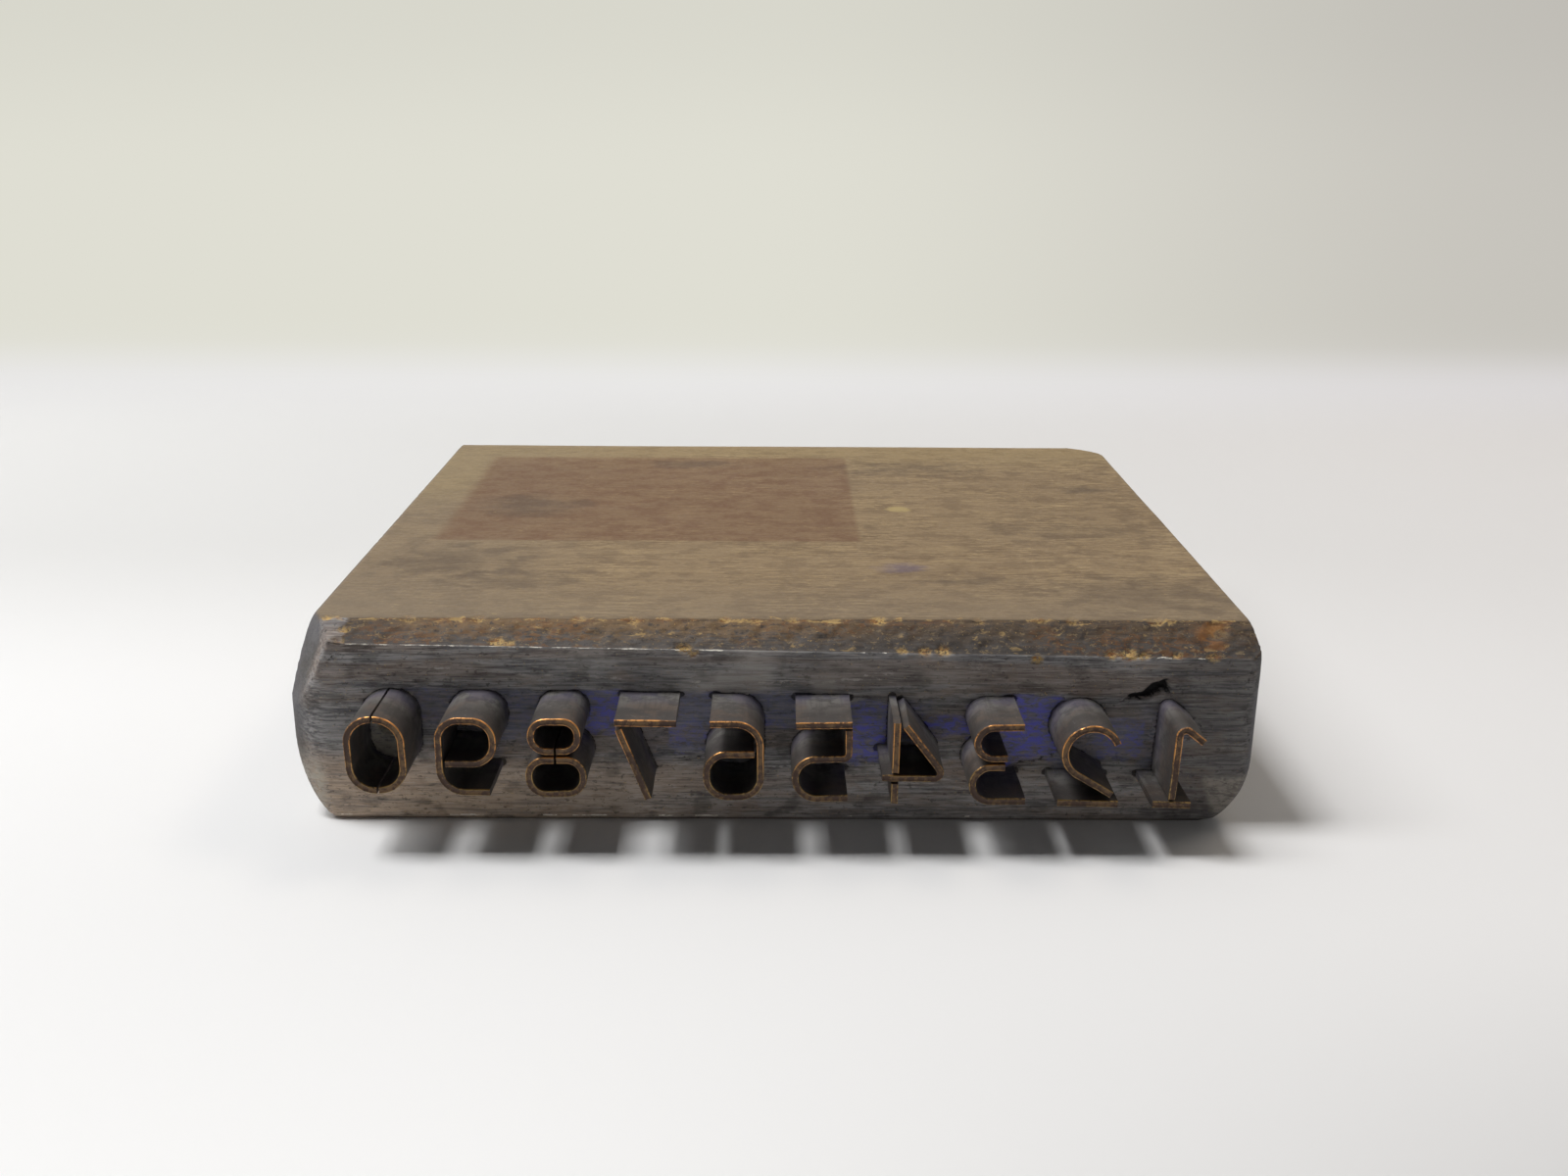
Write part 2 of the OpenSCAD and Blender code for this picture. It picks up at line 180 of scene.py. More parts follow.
def stripShapes():
    shapes = {}
    h = figureHeight(0)
    shapes["zero_left"] = (0, ((figureW - gap) / 2, h), 180, zeroHalf(h))
    shapes["zero_right"] = (0, ((figureW + gap) / 2, 0), 0, zeroHalf(h))
    h = figureHeight(1)
    shapes["nine_strip"] = (1, *turnedRound(curl(h), figureW, h))
    h = figureHeight(2)
    upper = (h - layBy) * 0.46
    lower = h - layBy - upper
    shapes["eight_upper"] = (2, ((figureW + gap) / 2, h - upper), 0, closedLoop(figureW - 1.0, upper))
    shapes["eight_lower"] = (2, ((figureW - gap) / 2, lower), 180, closedLoop(figureW, lower))
    h, lean = figureHeight(3), 21
    top = h - butt(90 - lean)
    cosLean = math.cos(math.radians(lean))
    shapes["seven_bar"] = (3, (-halfT, h), 0, [(figureW + 2 * halfT, 0)])
    legX = figureW - halfT * (1 - cosLean)
    shapes["seven_leg"] = (3, (legX, top), 270 - lean, [((top + halfT) / cosLean, 0)])
    shapes["six_strip"] = (4, *curl(figureHeight(4)))
    h, bowl, tail = figureHeight(5), 2.7, 0.2
    shapes["five_bar"] = (5, (figureW - tail, h), 180, [(figureW - tail + halfT, 0)])
    shapes["five_bowl"] = (5, (0, h - butt(90)), 270, [
        (h - butt(90) - 2 * bowl - cornerR, 0), (cornerR, 90), (figureW - bowl - cornerR, 0), (bowl, -180),
        (figureW - bowl - tail, 0)])
    h, stemIn, barZ = figureHeight(6), 1.2, 3.0
    stemX = figureW - stemIn
    reach = (h - barZ) / 0.8
    startX = stemX - halfT - gap - halfT * 0.8
    tangent = bendTangent(cornerR, 90 + plierRest)
    cornerX = startX - reach * 0.6
    shapes["four_elbow"] = (6, (startX, h), 270 - plierRest, [
        (reach - tangent, 0), (cornerR, 90), (cornerR, plierRest), (figureW + halfT - cornerX - tangent, 0)])
    shapes["four_stem"] = (6, (stemX, h + halfT), 270, [(h + halfT - barZ - butt(90), 0)])
    shapes["four_foot"] = (6, (stemX, barZ - butt(90)), 270, [(barZ - butt(90) + halfT, 0)])
    h, start, back = figureHeight(7), 0.5, 1.7
    upperR = (h - layBy) / 2 * 0.47
    lowerR = (h - layBy) / 2 - upperR
    shapes["three_upper"] = (7, (start, h), 0, [(figureW - 2 * start - upperR, 0), (upperR, -180), (back, 0)])
    shapes["three_lower"] = (7, (figureW - lowerR - back, 2 * lowerR), 0, [
        (back, 0), (lowerR, -180), (figureW - lowerR, 0)])
    h, r, tipX = figureHeight(8), figureW / 2, 0.4
    tip = (tipX - r, layBy - (h - r))
    reach = math.hypot(*tip)
    leave = math.degrees(math.atan2(tip[1], tip[0]) + math.acos(r / reach))
    opening = math.radians(leave + 180 + plierRest)
    hookStart = (r * (1 + math.cos(opening)), h - r + r * math.sin(opening))
    hookSteps = [(r, -180), (r, -plierRest), (math.sqrt(reach ** 2 - r ** 2), 0)]
    shapes["two_hook"] = (8, hookStart, math.degrees(opening) - 90, hookSteps)
    shapes["two_base"] = (8, (-halfT, 0), 0, [(figureW + 2 * halfT, 0)])
    h, flag, stemX, base = figureHeight(9), 3.9, figureW / 2 + 0.5, 4.8
    peak = h + tangent - cornerR
    shapes["one_stem"] = (9, (stemX - flag * 0.8, peak - flag * 0.6), plierRest, [
        (flag - tangent, 0), (cornerR, -90), (cornerR, -plierRest), (peak - tangent - butt(90), 0)])
    shapes["one_base"] = (9, (stemX - base / 2, 0), 0, [(base, 0)])
    return shapes


def walkPath(start, heading, steps, straightStep=0.5, bendStep=0.25):
    x, y = start
    a = math.radians(heading)
    points = [(x, y)]
    for size, angle in steps:
        if angle == 0:
            count = max(1, round(size / straightStep))
            points += [(x + math.cos(a) * size * k / count, y + math.sin(a) * size * k / count)
                       for k in range(1, count + 1)]
        else:
            side, turn = math.copysign(1, angle), math.radians(angle)
            cx, cy = x - side * size * math.sin(a), y + side * size * math.cos(a)
            count = max(3, math.ceil(abs(turn) * size / bendStep))
            points += [(cx + side * size * math.sin(a + turn * k / count),
                        cy - side * size * math.cos(a + turn * k / count)) for k in range(1, count + 1)]
            a += turn
        x, y = points[-1]
    return points


def rowPoint(place):  # x and z of a place in the row, in mm
    x = figureRow["rowX"] + figureRow["pitch"] * (place - lastPlace / 2)
    return x, figureRow["rowZ"] - figureRow["rowDrop"] * (place / lastPlace - 0.5)


def placeInRow(place):  # where a figure's own plane, in mm, lies in the row, in metres
    x, z = rowPoint(place)
    x += figureRow["shifts"][place]
    upright = Matrix.Rotation(math.radians(90), 4, "X")
    turned = Matrix.Rotation(math.radians(figureRow["turns"][place]), 4, "Z")
    mirrored = Matrix.Diagonal((-1, 1, 1, 1))
    centred = Matrix.Translation((-figureW / 2, -figureHeight(place) / 2, 0))
    return Matrix.Scale(mm, 4) @ Matrix.Translation((x, frontY, z)) @ upright @ turned @ mirrored @ centred


strips = stripShapes()
stripLines = {}  # each strip's middle line on the front of the wood, as (x, z) in mm
for name, (place, start, heading, steps) in strips.items():
    turnIn = placeInRow(place)
    onFront = [turnIn @ Vector((px, py, 0)) / mm for px, py in walkPath(start, heading, steps)]
    stripLines[name] = [(p.x, p.z) for p in onFront]
print("figures laid out:", len(strips), "strips")


# Wood block: a tube of fine rings along X, closed by a fine skin at each end.
# Its worn shape follows the CAD, and the marks of use are cut into it.
woodBlock = {
    "left": {"frontRadius": 6.5, "backRadius": 4.0, "topWear": 4.2, "topRise": 14.0, "footWear": 6.4,
             "footRise": 12.5},
    "right": {"frontRadius": 2.5, "backRadius": 11.0, "topWear": 1.4, "topRise": 8.0, "footWear": 6.6,
              "footRise": 9.0},
    "wearFullness": 1.6,
    "chamferBack": 4.5,
    "chamferDrop": (2.0, 3.7),  # at the left and the right end
    "arris": 0.7,
    "columnStep": 0.33,
    "frontRows": 74,
    "chamferRows": 17,
    # first step, growth and largest step from row to row over the top, and from column to column on an end
    "topStep": (0.3, 1.06, 1.45),
    "endStep": (0.42, 1.02, 1.3),
    "endRowStep": 0.52,
    "endJitter": 0.08,
    "reliefHole": {"radius": 1.9, "depth": 3.0, "up": 0.8},
    # flats whittled off corners: a point on the flat, the way it faces
    "flats": [((-57.2, -48.6, 26.0), (-0.80, -0.47, 0.37))],
    # hollows between the figures where ink lies, from left to right: top, bottom, depth and blueness
    "inkHollows": [
        (18.9, 13.6, 0.30, 0.45), (18.6, 11.0, 0.30, 0.5), (18.5, 12.6, 0.40, 0.85), (18.4, 9.6, 0.40, 0.65),
        (18.4, 13.4, 0.35, 0.60), (17.2, 8.8, 0.40, 0.9), (15.2, 12.2, 0.30, 0.95), (18.0, 9.2, 0.45, 0.95),
        (14.9, 9.4, 0.35, 0.8)],
    "hollowShape": {"halfWidth": 4.1, "raggedSides": 1.7, "footSlope": 0.8, "raggedFoot": 1.1},
    # how far the wood inside a figure is inked, to each side and up and down, and its blueness
    "insideReach": (3.1, 4.6),
    "inkInside": [0.0, 0.2, 0.1, 0.15, 0.25, 0.1, 0.45, 0.8, 0.45, 0.3],
    # chips out of the edges: x, distance along the chamfer from its foot (0 to 1), radius, depth, freshness
    "chips": [
        (-54.9, 0.55, 0.8, 0.35, 0.9), (-55.2, 0.15, 1.0, 0.45, 0.3), (-35.0, 0.18, 1.1, 0.25, 0.9),
        (-33.4, 0.12, 0.8, 0.2, 0.8), (-11.2, 0.05, 1.3, 0.5, 1.0), (-10.0, -0.1, 0.9, 0.4, 0.8),
        (16.8, 0.08, 0.7, 0.25, 0.8), (19.6, 0.08, 1.0, 0.3, 0.8), (22.0, 0.1, 1.1, 0.3, 0.9),
        (33.9, -0.12, 0.8, 0.45, 1.0), (43.6, 0.02, 1.0, 0.3, 0.9), (45.8, 0.03, 1.3, 0.35, 1.0),
        (47.7, 0.03, 0.9, 0.3, 0.9), (52.2, 0.05, 0.9, 0.3, 0.9), (56.6, 0.02, 1.0, 0.3, 0.7),
        (-57.6, 1.0, 0.8, 0.25, 1.0), (-47.0, 1.0, 1.0, 0.2, 0.5), (-38.0, 1.0, 1.2, 0.25, 0.6),
        (-25.0, 1.0, 1.0, 0.2, 0.6), (-17.8, 1.0, 1.1, 0.25, 0.8), (-6.0, 1.0, 1.0, 0.2, 0.9),
        (3.0, 1.0, 0.9, 0.2, 0.6), (13.8, 1.0, 1.4, 0.25, 0.9), (27.0, 1.0, 0.9, 0.25, 0.4),
        (39.0, 1.0, 1.0, 0.25, 0.5), (50.0, 1.0, 1.2, 0.25, 0.4), (57.6, 0.72, 1.7, 0.3, 0.15)],
    # the gouge above the last figure, as an outline on the front (x, z), and its depth
    "gouge": [(45.0, 17.4), (46.4, 18.4), (47.9, 18.7), (48.9, 19.9), (50.9, 20.5), (51.6, 18.9),
              (52.0, 18.2), (50.3, 18.6), (49.0, 17.7), (47.0, 17.6)],
    "gougeDepth": 1.3,
    # cracks and scratches on the front: points, half width, depth, paleness
    "scores": [
        ([(-55.4, 23.8), (-58.2, 20.6), (-61.0, 17.8)], 0.28, 0.25, -0.6),
        ([(-12.7, 9.1), (-9.8, 9.2), (-7.0, 9.9)], 0.24, 0.3, -1.0),
        ([(32.4, 8.7), (34.6, 8.9), (36.9, 9.7)], 0.24, 0.3, -1.0),
        ([(42.4, 14.8), (45.3, 14.7)], 0.24, 0.3, -1.0),
        ([(62.0, 22.5), (61.4, 20.6), (61.8, 15.0), (62.6, 11.4)], 0.24, 0.15, -0.5),
        ([(53.8, 15.9), (55.0, 14.9), (56.2, 13.3)], 0.26, 0.25, -0.8),
        ([(-1.6, 19.8), (2.2, 20.0), (7.2, 19.8), (9.0, 20.2), (14.0, 20.3)], 0.22, 0.12, 0.9),
        ([(-12.6, 19.6), (-9.0, 19.9)], 0.2, 0.1, 0.7),
        ([(-23.0, 20.5), (-19.2, 20.3)], 0.22, 0.1, 0.9),
        ([(-34.0, 20.9), (-30.0, 20.6), (-26.0, 20.9)], 0.18, 0.08, 0.5),
        ([(12.0, 20.9), (15.6, 21.1)], 0.2, 0.1, 0.7),
        ([(22.0, 22.0), (27.0, 21.8)], 0.18, 0.08, 0.4),
        ([(-45.0, 21.4), (-41.0, 21.6)], 0.18, 0.08, 0.5)],
}


def wearInset(wear, rise, away):
    full = woodBlock["wearFullness"]
    t = np.clip(1 - away / rise, 0, 1)
    return wear * (1 - (1 - t ** full) ** (1 / full))


def endInset(side, y, z):  # how far an end of the block lies inside its full length
    end = woodBlock[side]
    front = np.clip((frontY + end["frontRadius"] - y) / end["frontRadius"], 0, 1)
    back = np.clip((y - backY + end["backRadius"]) / end["backRadius"], 0, 1)
    plan = end["frontRadius"] * (1 - np.sqrt(1 - front ** 2))
    plan = plan + end["backRadius"] * (1 - np.sqrt(1 - back ** 2))
    top = wearInset(end["topWear"], end["topRise"], topZ - z)
    foot = wearInset(end["footWear"], end["footRise"], z)
    return (plan ** 6 + top ** 6 + foot ** 6) ** (1 / 6)


def chamferFoot(x):  # height at which the chamfer meets the front
    left, right = woodBlock["chamferDrop"]
    return topZ - left - (right - left) * np.clip(x / (blockHigh[0] - blockLow[0]) + 0.5, 0, 1)


def alongEnd(side, y):  # length along the plan outline of an end, from the front
    end = woodBlock[side]
    rf, rb = end["frontRadius"], end["backRadius"]
    front = np.arccos(np.clip((frontY + rf - y) / rf, 0, 1)) * rf
    middle = rf * math.pi / 2 + y - frontY - rf
    back = rf * math.pi / 2 + backY - rb - frontY - rf + np.arcsin(np.clip((y - backY + rb) / rb, 0, 1)) * rb
    return np.where(y < frontY + rf, front, np.where(y > backY - rb, back, middle))


def depthAlongEnd(side, t):  # the other way round: y from the length along the end
    end = woodBlock[side]
    rf, rb = end["frontRadius"], end["backRadius"]
    bendBack = rf * math.pi / 2 + backY - rb - frontY - rf
    front = frontY + rf - rf * np.cos(np.clip(t / rf, 0, math.pi / 2))
    back = backY - rb + rb * np.sin(np.clip((t - bendBack) / rb, 0, math.pi / 2))
    flat = frontY + rf + t - rf * math.pi / 2
    return np.where(t < rf * math.pi / 2, front, np.where(t > bendBack, back, flat))


def growingSteps(first, growth, largest, reach):  # places from 0 to just past reach, ever wider apart
    places, step = [0.0], first
    while places[-1] < reach:
        places.append(places[-1] + step)
        step = min(step * growth, largest)
    return np.array(places)


def ringRows():  # the rows round the block's section: kind and share of the way along it
    arris, rows = woodBlock["arris"], []
    rows += [("front", f) for f in np.linspace(0, 1, woodBlock["frontRows"] + 1)]
    rows += [("chamfer", f) for f in np.linspace(0, 1, woodBlock["chamferRows"] + 1)[1:]]
    places = growingSteps(*woodBlock["topStep"], backY - arris - frontY - woodBlock["chamferBack"])
    rows += [("top", f) for f in places[1:] / places[-1]]
    rows += [("backTop", 0.5), ("backTop", 1.0)]
    rows += [("back", f) for f in np.linspace(0, 1, 19)[1:]]
    rows += [("backFoot", 0.5), ("backFoot", 1.0)]
    rows += [("under", f) for f in np.linspace(0, 1, 13)[1:]]
    rows += [("frontFoot", 1 / 3), ("frontFoot", 2 / 3)]
    return rows


def rowPlace(kind, f, x):
    a, back, foot = woodBlock["arris"], woodBlock["chamferBack"], chamferFoot(x)
    return {
        "front": lambda: (frontY + 0 * x, a + f * (foot - a)),
        "chamfer": lambda: (frontY + f * back + 0 * x, foot + f * (topZ - foot)),
        "top": lambda: (frontY + back + f * (backY - a - frontY - back) + 0 * x, topZ + 0 * x),
        "backTop": lambda: (backY - a + f * a + 0 * x, topZ - f * a + 0 * x),
        "back": lambda: (backY + 0 * x, topZ - a - f * (topZ - 2 * a) + 0 * x),
        "backFoot": lambda: (backY - f * a + 0 * x, a - f * a + 0 * x),
        "under": lambda: (backY - a - f * (backY - frontY - 2 * a) + 0 * x, 0 * x),
        "frontFoot": lambda: (frontY + a - f * a + 0 * x, f * a + 0 * x),
    }[kind]()


def blockSkin():
    rows = ringRows()
    length = blockHigh[0] - blockLow[0]
    columns = round(length / woodBlock["columnStep"]) + 1
    share = np.linspace(0, 1, columns)
    nominalX = blockLow[0] + length * share
    points = np.zeros((len(rows), columns, 3))
    for k, (kind, f) in enumerate(rows):
        y, z = rowPlace(kind, f, nominalX)
        low, high = blockLow[0] + endInset("left", y, z), blockHigh[0] - endInset("right", y, z)
        points[k] = np.stack([low + (high - low) * share, y, z], 1)
    vertices = [points.reshape(-1, 3)]
    index = np.arange(len(rows) * columns).reshape(len(rows), columns)
    following = np.roll(index, -1, 0)
    quads = np.stack([index[:, :-1], index[:, 1:], following[:, 1:], following[:, :-1]], -1).reshape(-1, 4)
    triangles = []
    made = index.size
    randomDraw = np.random.default_rng(7)
    for side, column in (("left", 0), ("right", columns - 1)):
        rim = points[:, column]
        flat = np.stack([alongEnd(side, rim[:, 1]), rim[:, 2]], 1)
        places = growingSteps(*woodBlock["endStep"], flat[:, 0].max())
        t, z = np.meshgrid(places, np.arange(0.5, topZ, woodBlock["endRowStep"]))
        t, z = t.ravel(), z.ravel()
        jitter = woodBlock["endJitter"]
        t = t + randomDraw.uniform(-jitter, jitter, len(t))
        z = z + randomDraw.uniform(-jitter, jitter, len(z))
        y = depthAlongEnd(side, t)
        foot = chamferFoot(blockLow[0] if side == "left" else blockHigh[0])
        margin, a = 0.3, woodBlock["arris"]
        inside = (t > margin) & (t < flat[:, 0].max() - margin) & (z > margin) & (z < topZ - margin)
        inside &= z < foot + (y - frontY) / woodBlock["chamferBack"] * (topZ - foot) - margin
        inside &= (z + y - frontY > a + margin) & (z + backY - y > a + margin)
        inside &= backY - y + topZ - z > a + margin
        t, z, y = t[inside], z[inside], y[inside]
        inset = endInset(side, y, z)
        x = blockLow[0] + inset if side == "left" else blockHigh[0] - inset
        plane = [Vector(p) for p in flat] + [Vector(p) for p in zip(t, z)]
        ring = list(range(len(rows)))
        found = delaunay_2d_cdt(plane, [], [ring], 1, 1e-5)
        origin = [o[0] for o in found[3]]
        ids = np.array([index[o, column] if o < len(rows) else made + o - len(rows) for o in origin])
        faces = ids[np.array(found[2])]
        triangles.append(faces if side == "right" else faces[:, ::-1])
        vertices.append(np.stack([x, y, z], 1))
        made += len(x)
    return np.concatenate(vertices), quads, np.concatenate(triangles), rows, columns


def vertexNormals(points, quads, triangles):
    normals = np.zeros_like(points)
    for faces in (quads, triangles):
        size = faces.shape[1]
        cross = np.cross(points[faces[:, 2]] - points[faces[:, 0]],
                         points[faces[:, 3 % size]] - points[faces[:, 1]])
        for k in range(size):
            np.add.at(normals, faces[:, k], cross)
    return normals / np.maximum(np.linalg.norm(normals, axis=1, keepdims=True), 1e-9)


skin, quads, triangles, rows, columns = blockSkin()
normal = vertexNormals(skin, quads, triangles)
rowKind = np.array([kind for kind, f in rows])
rowShare = np.array([f for kind, f in rows])
ringCount = len(rows) * columns
kindOf = np.concatenate([np.repeat(rowKind, columns), np.full(len(skin) - ringCount, "end")])
shareOf = np.concatenate([np.repeat(rowShare, columns), np.zeros(len(skin) - ringCount)])
print("block skin:", len(skin), "points,", 2 * len(quads) + len(triangles), "triangles")

# Where each finish lies, as a number from 0 to 1 at each point of the skin
x, y, z = skin.T
inkedBack = 41.0 + 4.5 * layeredNoise(skin, (6, 6, 4), 17, 4)  # how far back the ink has crept over the ends
printingSide = (kindOf == "front") | (kindOf == "frontFoot")
onFront = np.where(kindOf == "end", easeBetween(inkedBack - 4, inkedBack + 4, -y), printingSide)
onTop = np.where(kindOf == "end", easeBetween(0.75, 0.95, normal[:, 2]), kindOf == "top")
facet = (x < -54.7) & ((kindOf == "chamfer") | (kindOf == "front") | (kindOf == "end")) & (y < -44)
marks = {
    "frontFace": np.maximum(onFront.astype(float), facet), "topFace": onTop * (1.0 - facet),
    "chamferFace": np.where((kindOf == "chamfer") & ~facet, 1.0, 0.0), "chip": np.zeros(len(skin)),
    "rub": np.zeros(len(skin)), "inkBlueness": np.zeros(len(skin)),
    "endGrain": easeBetween(0.4, 0.8, np.abs(normal[:, 0])),
}
# Distances in mm, which the wood's material turns into crisp edges: inside the ink, and away from
# the strips (for painted shade along them), from cracks, from pale scratches and from the worn lines along
# the edges, partly a painted highlight
farAway = 5.0
lineNames = ("rootAway", "crackAway", "paleAway", "wornAway", "arrisAway")
fields = {key: np.full(len(skin), farAway) for key in lineNames}
fields["inkDepth"] = np.full(len(skin), -farAway)
push = np.zeros(len(skin))  # how far each point goes inwards

# Hollows between the figures, deepest at their upper edge
frontPart = kindOf == "front"
ragged = layeredNoise(skin, (2.2, 9, 0.9), 11)
raggedSide = layeredNoise(skin, (9, 9, 1.8), 13)


def layInk(here, blueness):  # ink as far inside its edge as here says, in mm, on the front alone
    here = np.where(frontPart, here, -farAway)
    newest = here > np.maximum(fields["inkDepth"], -0.6)
    marks["inkBlueness"] = np.where(newest, blueness, marks["inkBlueness"])
    fields["inkDepth"] = np.maximum(fields["inkDepth"], here)
    return here


hollow = woodBlock["hollowShape"]
for k, (top, bottom, depth, blueness) in enumerate(woodBlock["inkHollows"]):
    middle = rowPoint(k + 0.5)[0]
    upper = top + 0.3 * smoothNoise(skin, (2.5, 9, 9), 31 + k)
    halfWide = hollow["halfWidth"] + hollow["raggedSides"] * raggedSide
    here = np.minimum(halfWide - np.abs(x - middle), upper - z)
    here = np.minimum(here, hollow["footSlope"] * (z - bottom) + hollow["raggedFoot"] * ragged)
    here = layInk(here, blueness)
    push += 1.35 * depth * easeBetween(-0.12, 0.12, here) * (0.45 + 0.55 * easeBetween(bottom, top, z))
for place, blueness in enumerate(woodBlock["inkInside"]):
    middle, centre = rowPoint(place)
    halfWide, halfHigh = woodBlock["insideReach"]
    here = np.minimum(halfWide - np.abs(x - middle), halfHigh - np.abs(z - centre))
    layInk(here + 0.6 * ragged, blueness)

# Where each strip enters the wood, which has crept back a little from it; the wood's material paints shade
# along this joint from the distance kept here
for line in stripLines.values():
    lowX, highX = min(p[0] for p in line) - 2, max(p[0] for p in line) + 2
    near = np.where(frontPart & (x > lowX) & (x < highX))[0]
    away = distanceToPath(x[near], z[near], line) - halfT
    push[near] += 0.15 * (1 - easeBetween(0.0, 0.25, away))
    fields["rootAway"][near] = np.minimum(fields["rootAway"][near], away)

# The relief hole in the first figure, with its rim drawn to a true circle
hole = woodBlock["reliefHole"]
holeMiddle = placeInRow(0) @ Vector((figureW / 2, figureHeight(0) / 2 + hole["up"], 0)) / mm
toHole = np.stack([x - holeMiddle.x, z - holeMiddle.z], 1)
fromHole = np.linalg.norm(toHole, axis=1)
rim = frontPart & (np.abs(fromHole - hole["radius"]) < 0.17)
skin[rim, 0] = holeMiddle.x + toHole[rim, 0] * hole["radius"] / fromHole[rim]
skin[rim, 2] = holeMiddle.z + toHole[rim, 1] * hole["radius"] / fromHole[rim]
inHole = frontPart & (fromHole < hole["radius"] - 0.01) & ~rim
push[inHole] = hole["depth"]

# Cracks and scratches on the front, and the gouge
nearFront = (kindOf == "front") | (kindOf == "end") & (y < frontY + 4)
for line, width, depth, paleness in woodBlock["scores"]:
    away = distanceToPath(x, z + 0.08 * ragged, line)
    push += depth * (1 - easeBetween(0, width, away)) * nearFront
    key = "crackAway" if paleness < 0 else "paleAway"
    fields[key] = np.where(nearFront, np.minimum(fields[key], away + 0.12 * (1 - abs(paleness))), fields[key])
edge = distanceToPath(x, z, woodBlock["gouge"] + woodBlock["gouge"][:1])
edge = np.where(insideOutline(x, z, woodBlock["gouge"]), -edge, edge) + 0.25 * ragged
push += woodBlock["gougeDepth"] * (1 - easeBetween(-0.7, 0.15, edge)) * frontPart
fields["crackAway"] = np.where(frontPart, np.minimum(fields["crackAway"], edge + 0.25), fields["crackAway"])

# Chips along the chamfer's edges, and its whittled roughness. The way across the chamfer counts from 0 at
# its foot to 1 at its top, and runs on over the front and the top.
chamferWidth = 5.0
belowChamfer = np.where(kindOf == "front", (z - chamferFoot(x)) / chamferWidth, 9)
slopeShare = np.where(kindOf == "chamfer", shareOf, belowChamfer)
slopeShare = np.where(kindOf == "top", 1 + (y - frontY - woodBlock["chamferBack"]) / chamferWidth, slopeShare)
for chipX, chipShare, radius, depth, freshness in woodBlock["chips"]:
    reach = np.hypot(x - chipX, (slopeShare - chipShare) * chamferWidth * 1.3) / radius
    reach = reach * (1 + 0.45 * ragged)
    here = 1 - easeBetween(0.55, 1.05, reach)
    push += depth * here
    marks["chip"] = np.maximum(marks["chip"], freshness * here)
rough = layeredNoise(skin, (1.3, 1.0, 0.9), 41, 3)
torn = np.clip(rough, -0.4, 1) * np.sin(math.pi * np.clip(shareOf, 0.08, 1)) ** 0.5
push += marks["chamferFace"] * (0.15 + 0.45 * torn)

# Broken pale lines where the chamfer's two edges and the foot have worn through the dark surface; along the
# chamfer's foot the line is also a painted highlight, where that edge catches the light from above
dashes = layeredNoise(skin, (1.8, 9, 9), 57, 3)
onLeft = easeBetween(-54.8, -54.2, x) * (1 - easeBetween(-9, -3, x)) * (dashes > -0.32)
onRight = easeBetween(-4, 6, x) * (x < 58) * (dashes > 0.3)
footDrift = np.abs(slopeShare) * chamferWidth + 0.05 * ragged
onArris = (onLeft + onRight > 0.5) & (np.abs(slopeShare) < 0.2)
fields["wornAway"] = np.where(onArris, footDrift, fields["wornAway"])
footDashes = layeredNoise(skin, (2.6, 9, 9), 71, 2) > 0.18
fields["wornAway"] = np.where(frontPart & footDashes & (z < 2.2), np.maximum(0, z - 0.75), fields["wornAway"])
upperRow = np.abs(slopeShare - 1) < 0.10
upperDashes = layeredNoise(skin, (1.5, 9, 9), 63, 3)
upperAway = np.abs(slopeShare - 1) * chamferWidth + 0.5 * np.clip(0.15 - upperDashes, 0, 1)
fields["arrisAway"] = np.where((np.abs(slopeShare - 1) < 0.3) & (x > -59.5), upperAway, fields["arrisAway"])
push += 0.22 * upperRow * (0.5 + 0.5 * layeredNoise(skin, (2.2, 9, 9), 67, 3))

# Slow unevenness of an old planed face, and its raised grain
push += 0.10 * (0.5 + 0.5 * smoothNoise(skin, (26, 15, 9), 81)) * (kindOf != "under")
grain = layeredNoise(skin, (14, 0.9, 0.7), 91, 3)
push += 0.035 * (0.5 + 0.5 * grain) * np.where(kindOf == "end", 0.4, 1) * (kindOf != "under")

skin = skin - normal * push[:, None]
for point, way in woodBlock["flats"]:  # whatever stands beyond a flat is laid back onto it
    way = np.array(way) / np.linalg.norm(way)
    beyond = (skin - np.array(point)) @ way
    beyond = np.where(beyond > 0, beyond + 0.06 * smoothNoise(skin, (1.5, 1.5, 1.5), 97), 0)
    skin -= np.clip(beyond, 0, None)[:, None] * way
skin = np.clip(skin, blockLow, blockHigh)

# The lower ends are rubbed grey where the block is slid on its foot
leftRub = easeBetween(0.8, 2.4, -skin[:, 0] - 57.0) * (1 - easeBetween(5.5, 10.5, z))
marks["rub"] = np.clip(leftRub * (y < -42), 0, 1)
rightRub = easeBetween(58.4, 59.6, skin[:, 0] + 0.35 * z) * (1 - easeBetween(6.0, 7.5, z)) * (y < -42)
marks["rub"] = np.maximum(marks["rub"], 0.5 * np.clip(rightRub, 0, 1))
# Painted light: the wood inside the first figure is painted pale on the rub mark, standing in for light
# reaching in there
firstX, firstZ = rowPoint(0)
paintedLightInFirstFigure = frontPart & (np.abs(x - firstX) < 3.0) & (np.abs(z - firstZ) < 4.6)
marks["rub"] = np.where(paintedLightInFirstFigure, 1.0, marks["rub"])

blockMesh = bpy.data.meshes.new("agedBlock")
faces = [tuple(f) for f in quads.tolist()] + [tuple(f) for f in triangles.tolist()]
blockMesh.from_pydata((skin * mm).tolist(), [], faces)
for name, values in (marks | fields).items():
    blockMesh.attributes.new(name, "FLOAT", "POINT").data.foreach_set("value", values.astype(np.float32))
blockMesh.shade_smooth()
blockMesh.update()
agedBlock = bpy.data.objects.new("aged_block", blockMesh)
bpy.context.scene.collection.objects.link(agedBlock)
print("wood block cut and marked")


# Materials

def newMaterial(name):
    material = bpy.data.materials.new(name)
    material.use_nodes = True
    material.node_tree.nodes.clear()
    return material, material.node_tree


